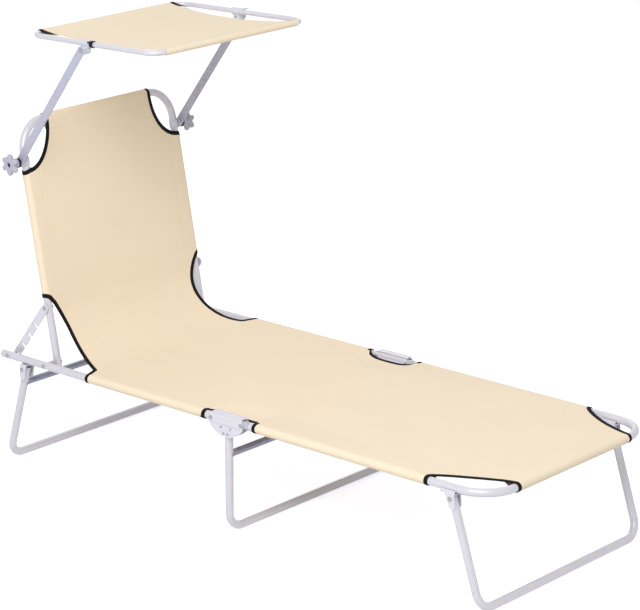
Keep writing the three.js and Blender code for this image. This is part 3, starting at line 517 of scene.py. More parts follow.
def crossbar(name, centre, upright, half):
    """A bar across a leg. upright is the leg's direction and half its half width."""
    square = upright.cross(X_AXIS).normalized()
    spokes = [cos(a) * square + sin(a) * upright for a in circle(TUBE_SIDES)]

    def ring(side, radius, out):
        """The bar's meeting with an upright, grown in radius and pulled back."""
        points = []
        for spoke in spokes:
            reach = sqrt(max(0, TUBE_RADIUS ** 2 - (radius * spoke.dot(square)) ** 2))
            points.append(centre + spoke * radius + X_AXIS * side * (half - reach - out))
        return points

    profile = [(CROSSBAR_RADIUS + BEAD * rise, BEAD * out) for rise, out in BEAD_SHAPE]
    profile.append((CROSSBAR_RADIUS, BAR_INSIDE))
    rings = [ring(-1, *place) for place in profile] + [ring(1, *place) for place in reversed(profile)]
    # The bar's darker finish is painted shade from the sling above it
    stand_in(name + "_tube", loft(rings), name, 50, "crossbar_paint")


def make_crossbars():
    crossbar("mid_leg_crossbar", side_view(MIDDLE_Y, RAIL.z - CROSSBAR_DROP), Z_AXIS, RAIL.x)
    pivot, down, _ = leg_line("rear_leg")
    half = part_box("rear_leg")[1].x - TUBE_RADIUS
    crossbar("rear_leg_crossbar", pivot + down * REAR_CROSSBAR_DROP, -down, half)


# Cloth

CLOTH_OUT = 0.0099
CLOTH = 0.0011
SEAM_INSET = 0.030
NO_SEAM = 9.0
WEB_COLUMNS = 96
WRAP_STEPS = 16
LAP_STEPS = 5
ROW_STEP = 0.006
SLANT_ROWS = 8
WELD = 0.00002

# A hem's section round its tube: from the top, round the outside, and back up to the seam
SEAM_POINT = (-SEAM_INSET, CLOTH_OUT - CLOTH)
seam_distance = hypot(*SEAM_POINT)
seam_angle = degrees(atan2(SEAM_POINT[1], SEAM_POINT[0]))
WRAP_END = seam_angle + degrees(acos(CLOTH_OUT / seam_distance)) - 360


def hem_section():
    """Places round a tube as (out along X, up, reach), starting at its top."""
    places = []
    for angle in map(radians, steps(WRAP_STEPS, 90, WRAP_END)):
        reach = CLOTH_OUT * (pi / 2 - angle)
        places.append((CLOTH_OUT * cos(angle), CLOTH_OUT * sin(angle), reach))
    out, up, reach = places[-1]
    inward, rise = SEAM_POINT[0] - out, SEAM_POINT[1] - up
    lap = hypot(inward, rise)
    for share in steps(LAP_STEPS)[1:]:
        places.append((out + inward * share, up + rise * share, reach + lap * share))
    return places


HEM = hem_section()


class Station:
    """One row across a cloth: where it is, how wide, and whether it is hemmed round the tubes."""

    def __init__(self, along, origin, normal, half, span, hemmed, sag=0.0, bar=NO_SEAM):
        self.along, self.origin, self.normal = along, origin, normal
        self.half, self.span, self.hemmed = half, span, hemmed
        self.sag, self.bar, self.dip, self.wave = sag, bar, 0.0, 0.0
        self.slant = Vector()

    def at(self, x, out=0.0):
        """A place on the cloth, moved out from it by a distance."""
        share = min(1, abs(x) / self.span)
        drop = self.sag * (1 - share ** 2) + self.dip * smooth((share - DIP_START) / DIP_RUN)
        ripple = crease(x, self.along) * (1 - share ** 6)
        first, second = (a * x + b * self.along for a, b in WAVES)
        ripple += self.wave * sin(first) * cos(second)
        return self.origin + X_AXIS * x + self.normal * (out + ripple - drop)

    def hem(self, side, dx, dz):
        """A place on the hem, moved along the tube where the hem's end is cut at a slant."""
        return self.at(side * (self.span + dx), dz - CLOTH_OUT) + self.slant * max(0, dx) / CLOTH_OUT


DIP_START = 0.6
DIP_RUN = 0.3
WAVES = ((17, 34), (9, -21))

# Faint long creases as (along, slope, x, height), mostly across near the fold between seat and back
CREASES = ((0.62, 0.7, 0.0, 0.0016), (0.66, -0.4, 0.11, 0.0012), (0.72, 0.35, -0.06, 0.0010),
           (0.58, -0.5, -0.1, 0.0010), (0.80, 0.2, 0.05, 0.0007))
CREASE_BEND = 0.6
CREASE_WIDTH = 0.016
CREASE_REACH = 0.16


def crease(x, along):
    """The height of the creases at a place on the cloth."""
    height = 0.0
    for place, slope, centre, size in CREASES:
        off = (along - place - slope * (x - centre) * abs(x) * CREASE_BEND) / CREASE_WIDTH
        height += size * exp(-off * off) * exp(-((x - centre) / CREASE_REACH) ** 2)
    return height


def oval(size, power, count):
    """Points on a quarter superellipse, from its end at size[0] to its end at size[1]."""
    return [(size[0] * abs(cos(angle)) ** (2 / power), size[1] * abs(sin(angle)) ** (2 / power))
            for angle in steps(count, 0, pi / 2)]


def spaced(low, high):
    """Places of a cloth's rows, from low to high."""
    return steps(max(1, round((high - low) / ROW_STEP)), low, high)


def slant_hem(rows, along):
    """Cuts the start of a run of hem rows at a slant, which fades over the next rows."""
    for i, row in enumerate(rows[:SLANT_ROWS]):
        row.slant = along * (1 - i / SLANT_ROWS)


def cloth_piece(name, stations, *edges):
    """A skin over the stations, with its hems. Edges are the right half's bound curves."""
    bound = kdtree.KDTree(2 * sum(len(edge) for edge in edges))
    for index, (point, _) in enumerate(p for edge in edges for p in edge + mirror(edge)):
        bound.insert(point, index)
    bound.balance()
    columns = steps(WEB_COLUMNS, -1, 1)
    points, cloth, seams, faces = [], [], [], []
    for row in stations:
        near, far = ([(row.hem(side, dx, dz), side * (row.span + reach)) for dx, dz, reach in HEM]
                     for side in (-1, 1))
        for point, across in near[::-1] + [(row.at(row.half * k), row.half * k) for k in columns] + far:
            points.append(point)
            cloth.append((across, row.along, bound.find(point)[2]))
            side_seam = abs(abs(across) - (row.span - SEAM_INSET)) if row.hemmed else 1
            seams.append((side_seam, row.bar, 0))
    width = len(columns) + 2 * len(HEM)
    web = range(len(HEM), len(HEM) + WEB_COLUMNS)
    with_hems = [k for k in range(width - 1) if k not in (web.start - 1, web.stop)]
    for i, (row, above) in enumerate(zip(stations, stations[1:])):
        for k in with_hems if row.hemmed and above.hemmed else web:
            corner = width * i + k
            faces.append((corner, corner + 1, corner + width + 1, corner + width))
    piece = mesh_piece(name, points, faces, "sling_fabric")
    store(piece, "cloth", cloth)
    store(piece, "seams", seams)
    thicken(piece)
    return piece


def thicken(piece):
    """Drops a cloth's unused vertices, welds its doubled ones and gives it its thickness."""
    edit_mesh(piece, lambda work: bmesh.ops.delete(
        work, geom=[v for v in work.verts if not v.link_faces], context="VERTS"))
    made(piece.modifiers.new("weld", "WELD"), merge_threshold=WELD)
    made(piece.modifiers.new("thickness", "SOLIDIFY"), thickness=CLOTH, offset=0)
    graph = bpy.context.evaluated_depsgraph_get()
    mesh = bpy.data.meshes.new_from_object(piece.evaluated_get(graph))
    piece.modifiers.clear()
    piece.data = mesh
    finish_edges(piece, 50)


# Bound edges of the right half are lists of (point, cloth normal)

def mirror(edge):
    return [(Vector((-p.x, p.y, p.z)), Vector((-n.x, n.y, n.z))) for p, n in edge]


def wrapped():
    """The hem's places, each with the place that says which way is out: its own, or the tube's last."""
    return [(place, HEM[min(k, WRAP_STEPS)]) for k, place in enumerate(HEM)]


def hem_ring(row):
    """A hem's end on the right-hand tube, from its top round the tube to its seam."""
    return [(row.hem(1, dx, dz), (X_AXIS * out_x + row.normal * out_z).normalized())
            for (dx, dz, _), (out_x, out_z, _) in wrapped()]


def web_edge(rows):
    return [(row.at(row.half), row.normal) for row in rows]


def bar_wrap(centre, out_start, out_side, half, along):
    """Stations round a cross bar: from the side that the web meets, round and back to the seam."""
    stations = []
    for (dx, dz, reach), (out_x, out_z, _) in wrapped():
        origin = centre + out_side * dx + out_start * dz
        normal = (out_side * out_x + out_start * out_z).normalized()
        stations.append(Station(along + reach, origin, normal, half, half + 1, False))
    return stations


def bar_end(station, size, power, count, half, *bar):
    """Rows past a hem's end: along the corner's cut, and then round the bar."""
    cut = [station(along, half - across, abs(along - SEAM_INSET))
           for across, along in reversed(oval(size, power, count))]
    return cut + bar_wrap(*bar, half - size[0], cut[-1].along)


# Bindings

TAPE_WIDTH = 0.0098
RING_WIDTH = 0.0145
RING_REACH = 0.052
LAP_TAPER = 0.3
TAPER_START = 0.010
TAPER_RUN = 0.012
TAPE_THICK = 0.0028
TAPE_OVER = 0.0006
TAPE_STEP = 0.0025
TAPE_POINTS = 14
TAPE_SQUARE = (0.45, 0.6)
TAPE_FLUTTER = ((0.05, 210, 0), (0.03, 517, 1))


def unit(rows):
    return rows / np.linalg.norm(rows, axis=1, keepdims=True)


def resample(edge, step):
    """The same curve with evenly spaced points, its turns slightly eased."""
    points = np.array([p[:] for p, _ in edge])
    normals = np.array([n[:] for _, n in edge])
    reach = np.concatenate([[0], np.cumsum(np.linalg.norm(np.diff(points, axis=0), axis=1))])
    keep = np.concatenate([[True], np.diff(reach) > 1e-7])
    points, normals, reach = points[keep], normals[keep], reach[keep]
    at = np.linspace(0, reach[-1], int(reach[-1] / step) + 1)
    line, up = (np.stack([np.interp(at, reach, column) for column in rows.T], 1)
                for rows in (points, normals))
    for _ in range(2):
        for rows in (line, up):
            rows[1:-1] = (rows[:-2] + 2 * rows[1:-1] + rows[2:]) / 4
    return line, unit(up), at


def tape_section():
    """A rounded oblong two units across and two high."""
    angles = [2 * pi * (k + 0.5) / TAPE_POINTS for k in range(TAPE_POINTS)]
    return [[copysign(abs(share) ** power, share) for share, power in zip((cos(a), sin(a)), TAPE_SQUARE)]
            for a in angles]


def binding(name, edge, cloth_side, ring_width=TAPE_WIDTH, thin_start=True):
    """Tape folded over a bound edge, thinner where it ends on a hem's lap. cloth_side is on the cloth."""
    line, up, reach = resample(edge, TAPE_STEP)
    inward = unit(np.cross(up, unit(np.gradient(line, axis=0))))
    half = len(line) // 2
    if np.dot(inward[half], np.array(cloth_side[:]) - line[half]) < 0:
        inward = -inward
    section = tape_section()
    rings, marks = [], []
    for i, along in enumerate(reach):
        to_end = reach[-1] - along
        near_hem = smooth((RING_REACH - to_end) / TAPER_RUN)
        if thin_start:
            to_end = min(to_end, along)
        full = LAP_TAPER + (1 - LAP_TAPER) * smooth((to_end - TAPER_START) / TAPER_RUN)
        width = (TAPE_WIDTH + (ring_width - TAPE_WIDTH) * near_hem) * full
        flutter = sum((size * sin(along * rate + turn) for size, rate, turn in TAPE_FLUTTER), 1)
        ring = []
        for across, rise in section:
            offset = width / 2 - TAPE_OVER + across * width / 2
            height = rise * TAPE_THICK / 2 * (flutter * full)
            ring.append(Vector(line[i] + inward[i] * offset + up[i] * height))
            marks.append((along, offset, 0))
        rings.append(ring)
    piece = mesh_piece(name, *loft(rings), "binding")
    store(piece, "tape", marks)
    close_up(piece, 60)
    return piece


def bind(*tapes):
    """Tapes on both sides, each given as name, right-hand edge, a place on the cloth, and its shape."""
    return [binding(f"{name}_{hand}", edge if hand == "right" else mirror(edge), *shape)
            for hand, _ in SIDES for name, edge, *shape in tapes]


# The cloth from the seat up the back

SEAT_JOIN = MIDDLE_Y + 0.245
SEAT_HEM_END = MIDDLE_Y + 0.432
BACK_HEM_START = 0.147
BEND_RADIUS = 0.150
BEND_WAIST = 0.213
BEND_NECK = 0.142
BEND_RISE = {"seat": (0.043, 0.146, 1.77), "back": (0.0365, 0.09, 1.9)}
BEND_LANDING = {"seat": 0.012, "back": 0.008}
BEND_SLANT = 0.007
BEND_BLEND_INSET = 0.02
BEND_ROWS = 76
CORNER_SLANT = 0.004
HINGE_CUT = (0.021, 0.0695)
HINGE_SHIFT = -0.005
HINGE_POWER = 2.5
HINGE_DIP = 0.008
HINGE_BLEND = 0.085
FIRST_ROW = 0.001
FOOT_CUT = (0.082, 0.156)
FOOT_POWER = 1.25
FOOT_CUT_ROWS = 26
BACK_CUT = (0.073, 0.105)
BACK_POWER = 2.0
CUT_ROWS = 22
SEAT_SAG = 0.006
BACK_SAG = 0.007
SAG_FADE = 0.12
LEAN = atan2(BACK_UP.z, BACK_UP.y)

# The fold: where the cloth leaves the seat plane, the arc, and where it joins the back plane
CREASE_Y = BACK_PIVOT.y - CLOTH_OUT * tan(LEAN / 2)
SETBACK = BEND_RADIUS * tan(LEAN / 2)
ARC_START = CREASE_Y - SETBACK
ARC_CENTRE = side_view(ARC_START, RAIL.z + CLOTH_OUT + BEND_RADIUS)
ARC_LENGTH = BEND_RADIUS * LEAN
BACK_ENTRY = SETBACK + CLOTH_OUT * tan(LEAN / 2)


def over_rail(y):
    """The cloth's middle line over the seat."""
    return on_rail(y, CLOTH_OUT)


def fold_place(reach):
    """Origin and normal of the cloth at a distance past the start of the fold."""
    if reach < 0:
        return over_rail(ARC_START + reach), Z_AXIS
    if reach < ARC_LENGTH:
        turn = reach / BEND_RADIUS
        normal = side_view(-sin(turn), cos(turn))
        return ARC_CENTRE - normal * BEND_RADIUS, normal
    return on_back(BACK_ENTRY + reach - ARC_LENGTH, CLOTH_OUT), BACK_FRONT


def back_reach(along):
    """Distance past the start of the fold of a place on the back."""
    return ARC_LENGTH + along - BACK_ENTRY


def back_station(reach, half, span, hemmed, bar=NO_SEAM):
    fade = smooth((back_reach(BACK_LENGTH) - reach) / SAG_FADE)
    sag = (SEAT_SAG + (BACK_SAG - SEAT_SAG) * smooth(reach / ARC_LENGTH)) * fade
    return Station(ARC_START - MIDDLE_Y + reach, *fold_place(reach), half, span, hemmed, sag, bar)


def bend_half(reach, low, high):
    """Half the cloth's width along its free run from the seat's hem to the back's."""
    side = "seat" if reach < BEND_NECK else "back"
    rise, span, power = BEND_RISE[side]
    half = BEND_WAIST + rise * (abs(reach - BEND_NECK) / span) ** power
    end, off = (RAIL.x, reach - low) if side == "seat" else (BACK_HALF, high - reach)
    return end + (half - end) * min(1, off / BEND_LANDING[side])


def make_back_cloth():
    """The cloth from the seat's rails up to the bar across the back, and its bindings."""
    low, high, top = SEAT_HEM_END - ARC_START, back_reach(BACK_HEM_START), back_reach(BACK_LENGTH)
    seat = [back_station(reach, RAIL.x, RAIL.x, True) for reach in spaced(SEAT_JOIN - ARC_START, low)]
    free = []
    for angle in steps(BEND_ROWS, 0, pi):
        share = (1 - cos(angle)) / 2
        reach = low + (high - low) * share
        span = RAIL.x + (BACK_HALF - RAIL.x) * share
        free.append(back_station(reach, bend_half(reach, low, high), span, False))
    hem = [back_station(reach, BACK_HALF, BACK_HALF, True)
           for reach in spaced(high, back_reach(BACK_LENGTH - BACK_CUT[1]))]
    slant_hem(hem, BACK_UP * BEND_SLANT)
    slant_hem(hem[::-1], -BACK_UP * CORNER_SLANT)
    cut = bar_end(lambda along, half, bar: back_station(top - along, half, BACK_HALF, False, bar),
                  BACK_CUT, BACK_POWER, CUT_ROWS, BACK_HALF, on_back(BACK_LENGTH), BACK_FRONT, BACK_UP)
    bend_edge = hem_ring(seat[-1])[::-1] + web_edge(free) + hem_ring(hem[0])
    corner_edge = hem_ring(hem[-1])[::-1] + web_edge(cut)
    # Rows of a hem and of a free run meet at one place, so each keeps its own copy there
    piece = cloth_piece("cloth_back", seat + free + hem + cut, bend_edge, corner_edge)
    tapes = bind(("bend_binding", bend_edge, fold_place((low + high) / 2)[0]),
                 ("back_corner_binding", corner_edge, on_back(BACK_LENGTH - BACK_CUT[1], CLOTH_OUT)))
    seat_side = fold_place(low + BEND_BLEND_INSET)[0]
    back_side = fold_place(high - BEND_BLEND_INSET)[0]
    for each in [piece, *tapes]:
        if each.name.startswith("back_corner"):
            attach(each, "backrest")
        else:
            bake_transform(each)
            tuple(back_side)
            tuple(seat_side)
    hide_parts("back_sling", "bend_sling")


# The cloth over the hinge, to each side of the middle line

def rail_station(y, half, hemmed, sag=SEAT_SAG, bar=NO_SEAM):
    return Station(y - MIDDLE_Y, over_rail(y), Z_AXIS, half, RAIL.x, hemmed, sag, bar)


def hinge_rows(way):
    """Rows over one end of the hinge's cut-out, from the middle line to the hem."""
    ends = [end * along for end in (1, -1) for _, along in oval(HINGE_CUT, HINGE_POWER, CUT_ROWS)]
    places = {HINGE_SHIFT + end for end in ends if way * (HINGE_SHIFT + end) > FIRST_ROW}
    rows = []
    for place in [0.0, *sorted(places, key=abs)]:
        share = min(1, abs(place - HINGE_SHIFT) / HINGE_CUT[1])
        across = HINGE_CUT[0] * (1 - share ** HINGE_POWER) ** (1 / HINGE_POWER)
        row = rail_station(MIDDLE_Y + place, RAIL.x - across, False)
        row.dip = HINGE_DIP * (1 - share ** 4)
        rows.append(row)
    return rows


def make_seat_cloth():
    """The short cloth from the middle leg to the back's cloth."""
    cut = hinge_rows(1)
    hem_start = MIDDLE_Y + HINGE_SHIFT + HINGE_CUT[1]
    hem = [rail_station(y, RAIL.x, True) for y in spaced(hem_start, SEAT_JOIN)]
    edge = web_edge(cut) + hem_ring(hem[0])
    piece = cloth_piece("cloth_seat", cut + hem, edge)
    tapes = bind(("hinge_binding_seat", edge, over_rail(SEAT_JOIN), RING_WIDTH, False))
    start, end = over_rail(MIDDLE_Y + HINGE_BLEND), over_rail(MIDDLE_Y)
    for each in [piece, *tapes]:
        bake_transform(each)
        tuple(start)
        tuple(end)
    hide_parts("seat_sling")


def make_foot_cloth():
    """The cloth from the middle leg to the bar across the foot, and its bindings."""
    def station(y, half, hemmed, bar=NO_SEAM):
        return rail_station(y, half, hemmed, SEAT_SAG * smooth((y - FOOT_BAR_Y) / SAG_FADE), bar)

    hinge = hinge_rows(-1)
    hem_start = MIDDLE_Y + HINGE_SHIFT - HINGE_CUT[1]
    hem = [station(y, RAIL.x, True) for y in spaced(hem_start, FOOT_BAR_Y + FOOT_CUT[1])]
    cut = bar_end(lambda along, half, bar: station(FOOT_BAR_Y + along, half, False, bar),
                  FOOT_CUT, FOOT_POWER, FOOT_CUT_ROWS, RAIL.x, on_rail(FOOT_BAR_Y), Z_AXIS, -Y_AXIS)
    hinge_edge = web_edge(hinge) + hem_ring(hem[0])
    foot_edge = hem_ring(hem[-1])[::-1] + web_edge(cut)
    piece = cloth_piece("cloth_foot", hinge + hem + cut, hinge_edge, foot_edge)
    inner = over_rail(hem[-1].origin.y)
    tapes = bind(("hinge_binding_foot", hinge_edge, inner, RING_WIDTH, False),
                 ("foot_binding", foot_edge, inner))
    start, end = over_rail(MIDDLE_Y), over_rail(MIDDLE_Y - HINGE_BLEND)
    for each in [piece, *tapes]:
        if each.name.startswith("foot_binding"):
            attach(each, "foot_section")
        else:
            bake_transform(each)
            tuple(start)
            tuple(end)
    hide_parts("foot_sling")


# The canopy's cloth, hemmed round both end bars, its sides drawn in

SHADE_WAIST = 0.201
SHADE_NECK = 0.42
SHADE_FRONT = 0.213
SHADE_REAR = 0.205
SHADE_SAG = 0.0133
SHADE_BELLY = 0.003
SHADE_WAVE = 0.0011
SHADE_HANG = 0.6
SHADE_OUT = CANOPY_TUBE + 0.0009
SHADE_TURN = 215
SHADE_TURN_STEPS = 12
SHADE_LAP = 0.024
SHADE_LAP_STEPS = 6
SLEEVE_LAP = 0.046
LAP_DROP = 0.0022
SLEEVE_END = 0.2165


def round_bar(centre, outward, half, along, seam_row):
    """Stations round a canopy bar, from the web over the bar and back to the seam under the web."""
    stations = []
    for angle in map(radians, steps(SHADE_TURN_STEPS, 90, 90 - SHADE_TURN)[1:]):
        normal = (outward * cos(angle) + CANOPY_NORMAL * sin(angle)).normalized()
        reach = SHADE_OUT * (pi / 2 - angle)
        stations.append(Station(along + reach, centre + normal * SHADE_OUT, normal, half, 1, False))
    last = stations[-1]
    seam = seam_row.origin - CANOPY_NORMAL * LAP_DROP
    for share in steps(SHADE_LAP_STEPS)[1:]:
        origin = last.origin.lerp(seam, share)
        reach = last.along + (origin - last.origin).length
        sag = -seam_row.sag * share
        stations.append(Station(reach, origin, -CANOPY_NORMAL, half, seam_row.span, False, sag))
    return stations


def shade_row(along):
    """A row of the canopy's web, which sags and is narrowest at its neck."""
    share = (along + CANOPY_FRONT) / (CANOPY_REAR + CANOPY_FRONT)
    if share < SHADE_NECK:
        end, off = SHADE_FRONT, 1 - share / SHADE_NECK
    else:
        end, off = SHADE_REAR, (share - SHADE_NECK) / (1 - SHADE_NECK)
    half = SHADE_WAIST + (end - SHADE_WAIST) * off ** 2
    hang = max(0, sin(pi * share)) ** SHADE_HANG
    origin = on_canopy(along, SHADE_OUT) - CANOPY_NORMAL * SHADE_SAG * hang
    to_seam = min(abs(along + CANOPY_FRONT - SHADE_LAP), abs(CANOPY_REAR - along - SLEEVE_LAP))
    row = Station(along, origin, CANOPY_NORMAL, half, CANOPY_HALF, False, SHADE_BELLY * hang, to_seam)
    row.wave = SHADE_WAVE * hang
    return row


def make_canopy_cloth():
    low, high = -CANOPY_FRONT, CANOPY_REAR
    web = [shade_row(along) for along in spaced(low, high)]
    front = round_bar(on_canopy(low), -CANOPY_ALONG, SHADE_FRONT, 0, shade_row(low + SHADE_LAP))
    for row in front:
        row.along = low - row.along
    rear = round_bar(on_canopy(high), CANOPY_ALONG, SHADE_REAR, high, shade_row(high - SLEEVE_LAP))
    rows = front[::-1] + web + rear
    piece = cloth_piece("cloth_canopy", rows, web_edge(rows))
    mouth = [row for row in web if row.along > high - SLEEVE_LAP] + rear
    mouth_edge = [(row.at(SLEEVE_END), row.normal) for row in mouth]
    # The black tape round the sleeve's mouth also stands for the shade inside the sleeve: painted shade
    tapes = bind(("sleeve_binding_painted_shade", mouth_edge, on_canopy(high)))
    for each in [piece, *tapes]:
        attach(each, "canopy")
    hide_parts("canopy_sling")


# Finishes of the CAD nodes that stay

NODE_EDGE = 0.0004


def dress_nodes():
    """Gives each CAD node that still shows its finish, with softened edges."""
    for node, thing in frame["nodes"].items():
        if thing.hide_render:
            continue
        thing.data.materials.clear()
        thing.data.materials.append(MATERIALS[SLOT[node]])
        made(thing.modifiers.new("weld", "WELD"), merge_threshold=WELD)
        made(thing.modifiers.new("flat", "DECIMATE"), decimate_type="DISSOLVE", angle_limit=radians(1))
        made(thing.modifiers.new("edges", "BEVEL"), width=NODE_EDGE, segments=2, limit_method="ANGLE",
             angle_limit=radians(40), harden_normals=False)


# Turned parts

ROUND = 36
HEAD_SHARES = ((0.0, 1.0), (0.3, 0.97), (0.62, 0.82), (0.88, 0.52), (0.96, 0.3), (0.9, 0.12))

# Pins as (radius, head's radius, head's rise). HEADS says where the inner or the outer head is missing
PIN = (0.003, 0.0052, 0.0018)
CLIP_PIN = (0.0025, 0.0046, 0.0016)
PIN_BORE = 0.0033
PINS = ("rear_leg_pin", "foot_leg_pin", "ratchet_pin", "backrest_pivot_pin", "seat_hinge_pin",
        "foot_hinge_pin", "strut_pin", "arm_bolt", "canopy_clip_pin")
HEADS = {"ratchet_pin": (False, True), "arm_bolt": (False, False)}


def turned(place, axis, profile, count=ROUND, lobes=None, closed=False):
    """A shell revolved about an axis, from rings of (along, radius, how strongly it is lobed)."""
    side = Z_AXIS if abs(axis.x) > 0.5 else axis.orthogonal().normalized()
    other = axis.cross(side)
    rings = []
    for along, radius, *lobed in profile:
        ring = []
        for angle in circle(count):
            size = radius + (lobed[0] * lobes(angle) if lobed else 0)
            ring.append(place + axis * along + (side * cos(angle) + other * sin(angle)) * size)
        rings.append(ring)
    return loft(rings, closed)


def collar(place, axis, half, inner, outer, ease=0.0007):
    """A ring round a tube, its outer edges eased."""
    profile = [(-half, inner), (-half, outer - ease), (-half + ease, outer),
               (half - ease, outer), (half, outer - ease), (half, inner)]
    return turned(place, axis, profile, closed=True)


def make_pins():
    """Round pins, with a domed head, dimpled in the middle, at the ends that have one."""
    for kind in PINS:
        radius, head, rise = CLIP_PIN if kind == "canopy_clip_pin" else PIN
        start, end = HEADS.get(kind, (True, True))
        low, high = (corner.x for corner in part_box(kind + "_right"))
        low, high = low + rise * start, high - rise * end
        dome = [(rise * height, head * share) for height, share in HEAD_SHARES]
        near = [(low - h, r) for h, r in reversed(dome)] if start else [(low, radius)]
        far = [(high + h, r) for h, r in dome] if end else [(high, radius)]
        profile = near + [(low, radius), (high, radius)] + far
        for name, out in SIDES:
            pin = turned(axle(kind + "_right"), out, profile)
            stand_in(f"{kind}_round_{name}", pin, f"{kind}_{name}")


RAIL_PLUG = ((-0.014, 0.0076), (0.0003, 0.0076), (0.0003, 0.0086), (0.0007, 0.009), (0.0016, 0.009),
             (0.0028, 0.0084), (0.0039, 0.007), (0.0047, 0.0048), (0.0052, 0.002))
BUSH_RADIUS = 0.007
BUSH_EASE = 0.0006


def make_bushes():
    for name, out in SIDES:
        plug = turned(on_rail(rail_high.y) + out * RAIL.x, Y_AXIS, RAIL_PLUG)
        stand_in(f"rail_plug_{name}", plug, f"rail_cap_{name}")
        low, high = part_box("backrest_bush_right")
        half = (high.x - low.x) / 2
        bush = collar(BACK_PIVOT + out * (low.x + half), out, half, PIN_BORE, BUSH_RADIUS, BUSH_EASE)
        stand_in(f"bush_ring_{name}", bush, f"backrest_bush_{name}")


# The hinge shells: pressed covers with two ribs, a rounded fan and rivets, and rings on the rail

SHELL_INNER = 0.0096
SHELL_PLATE = 0.0016
SHELL_OUTER = SHELL_INNER + SHELL_PLATE
SHELL_HALF = 0.050
SHELL_SHOULDER = 0.044
SHELL_LIFT = 0.003
SHELL_SKIRT = -0.008
SHELL_FAN = -0.035
SHELL_FAN_HALF = 0.012
SHELL_FAN_POWER = 1.3
SHELL_RIB = 0.0033
SHELL_BEAD = -0.006
SHELL_BEAD_RISE = 0.0018
SHELL_BEAD_SPREAD = 0.002
SHELL_RIB_ANGLE = radians(36)
SHELL_RIB_SPREAD = radians(5)
SHELL_ROWS = 40
SHELL_ARCH_STEPS = 80
SHELL_FLANK_STEPS = 44
FAN_RIVETS = ((0.014, -0.015), (-0.014, -0.015), (0.006, -0.028), (-0.006, -0.028))
RIVET = [(-0.0004, 0.0030)] + [(0.0011 * height, 0.0032 * share) for height, share in HEAD_SHARES]
RIVET_SIDES = 20
# The rail's rings are low ridges in dark steel; their dark colour is painted shade for the grooves between
# them
RAIL_RINGS = (-0.0535, -0.0575, -0.0615)
RAIL_RING = (0.0007, 0.0089, 0.0094, 0.0002)


def shell_reach(z):
    """How far a shell runs to each side of the middle line at a height."""
    if z >= SHELL_LIFT:
        return SHELL_HALF + (SHELL_SHOULDER - SHELL_HALF) * (z - SHELL_LIFT) / SHELL_OUTER
    if z >= SHELL_SKIRT:
        return SHELL_HALF
    share = (SHELL_SKIRT - z) / (SHELL_SKIRT - SHELL_FAN)
    curve = (1 - min(1, share) ** SHELL_FAN_POWER) ** (1 / SHELL_FAN_POWER)
    return SHELL_FAN_HALF + (SHELL_HALF - SHELL_FAN_HALF) * curve


def shell_section(radius):
    """Places over the rail as (out, up), from one flank's foot over the ribs to the other's."""
    flank = []
    for z in steps(SHELL_FLANK_STEPS, SHELL_FAN, SHELL_LIFT)[:-1]:
        off = (z - SHELL_BEAD) / SHELL_BEAD_SPREAD
        flank.append((radius + SHELL_BEAD_RISE * exp(-off * off), z))
    arch = []
    for angle in steps(SHELL_ARCH_STEPS, pi / 2, -pi / 2):
        off = (abs(angle) - SHELL_RIB_ANGLE) / SHELL_RIB_SPREAD
        swell = radius + SHELL_RIB * exp(-off * off)
        arch.append((swell * sin(angle), SHELL_LIFT + swell * cos(angle)))
    return flank + arch + [(-x, z) for x, z in reversed(flank)]


def shell_skin(out):
    """The closed skin of a pressed shell: its outer face, its inner face and its rim."""
    outer = shell_section(SHELL_OUTER)
    loop = outer + shell_section(SHELL_INNER)[::-1]
    points, faces = loft([
        [on_rail(MIDDLE_Y + share * shell_reach(z)) + out * (RAIL.x + x) + Z_AXIS * z for x, z in loop]
        for share in steps(SHELL_ROWS, -1, 1)])
    # The rim at each end goes from outer to inner face, in place of the loft's flat end
    faces = faces[:-2]
    count = len(loop)
    for start in (0, len(points) - count):
        for k in range(len(outer) - 1):
            faces.append(tuple(start + place for place in (k, k + 1, count - 2 - k, count - 1 - k)))
    return points, faces


def make_shells():
    for name, out in SIDES:
        stand_in(f"shell_{name}", shell_skin(out), f"hinge_shell_{name}", 40)
        face = out * (RAIL.x + SHELL_OUTER)
        rivets = [turned(on_rail(MIDDLE_Y + y, z) + face, out, RIVET, RIVET_SIDES) for y, z in FAN_RIVETS]
        trim(f"shell_rivets_{name}", rivets, "rivet_steel", "mid_support")
        # Dark rings on the rail: real ridges, their darkness painted shade for the grooves
        rings = [collar(on_rail(MIDDLE_Y + y) + out * RAIL.x, Y_AXIS, *RAIL_RING) for y in RAIL_RINGS]
        trim(f"rail_rings_painted_groove_shade_{name}", rings, "rivet_steel", "foot_section")


# The legs' brackets: two cheeks shaped along the leg, under a plate on the rail

CHEEK_NEAR = 0.0096
CHEEK_FAR = 0.0112
PLATE_TOP = -0.0092
PLATE_THICK = 0.0016
PLATE_EASE = 0.0004

# Cheeks as (y, z) from the pin; their tops are cut off by the plate
REAR_CHEEK = ((0.0045, 0.05), (0.0055, 0.004), (0.0075, -0.008), (0.0085, -0.016), (0.006, -0.0215),
              (0, -0.024), (-0.006, -0.0225), (-0.0095, -0.017), (-0.0115, -0.004), (-0.0145, 0.010),
              (-0.0175, 0.05))
FOOT_CHEEK = ((0.0262, 0.05), (0.0250, 0.0205), (0.0185, 0.0140), (0.0125, 0.0075), (0.0085, 0.001),
              (0.0055, -0.008), (0.0025, -0.0165), (-0.001, -0.0195), (-0.0055, -0.0205),
              (-0.0105, -0.0195), (-0.0135, -0.0165), (-0.013, -0.009), (-0.0115, 0.002),
              (-0.011, 0.010), (-0.012, 0.014), (-0.0145, 0.05))

# Brackets as (leg, cheek, how far the leg stands in from the rail, how far the cheek tops the plate)
BRACKETS = (("rear_leg", REAR_CHEEK, 0.006, 0), ("foot_leg", FOOT_CHEEK, 0.001, 0.0075))


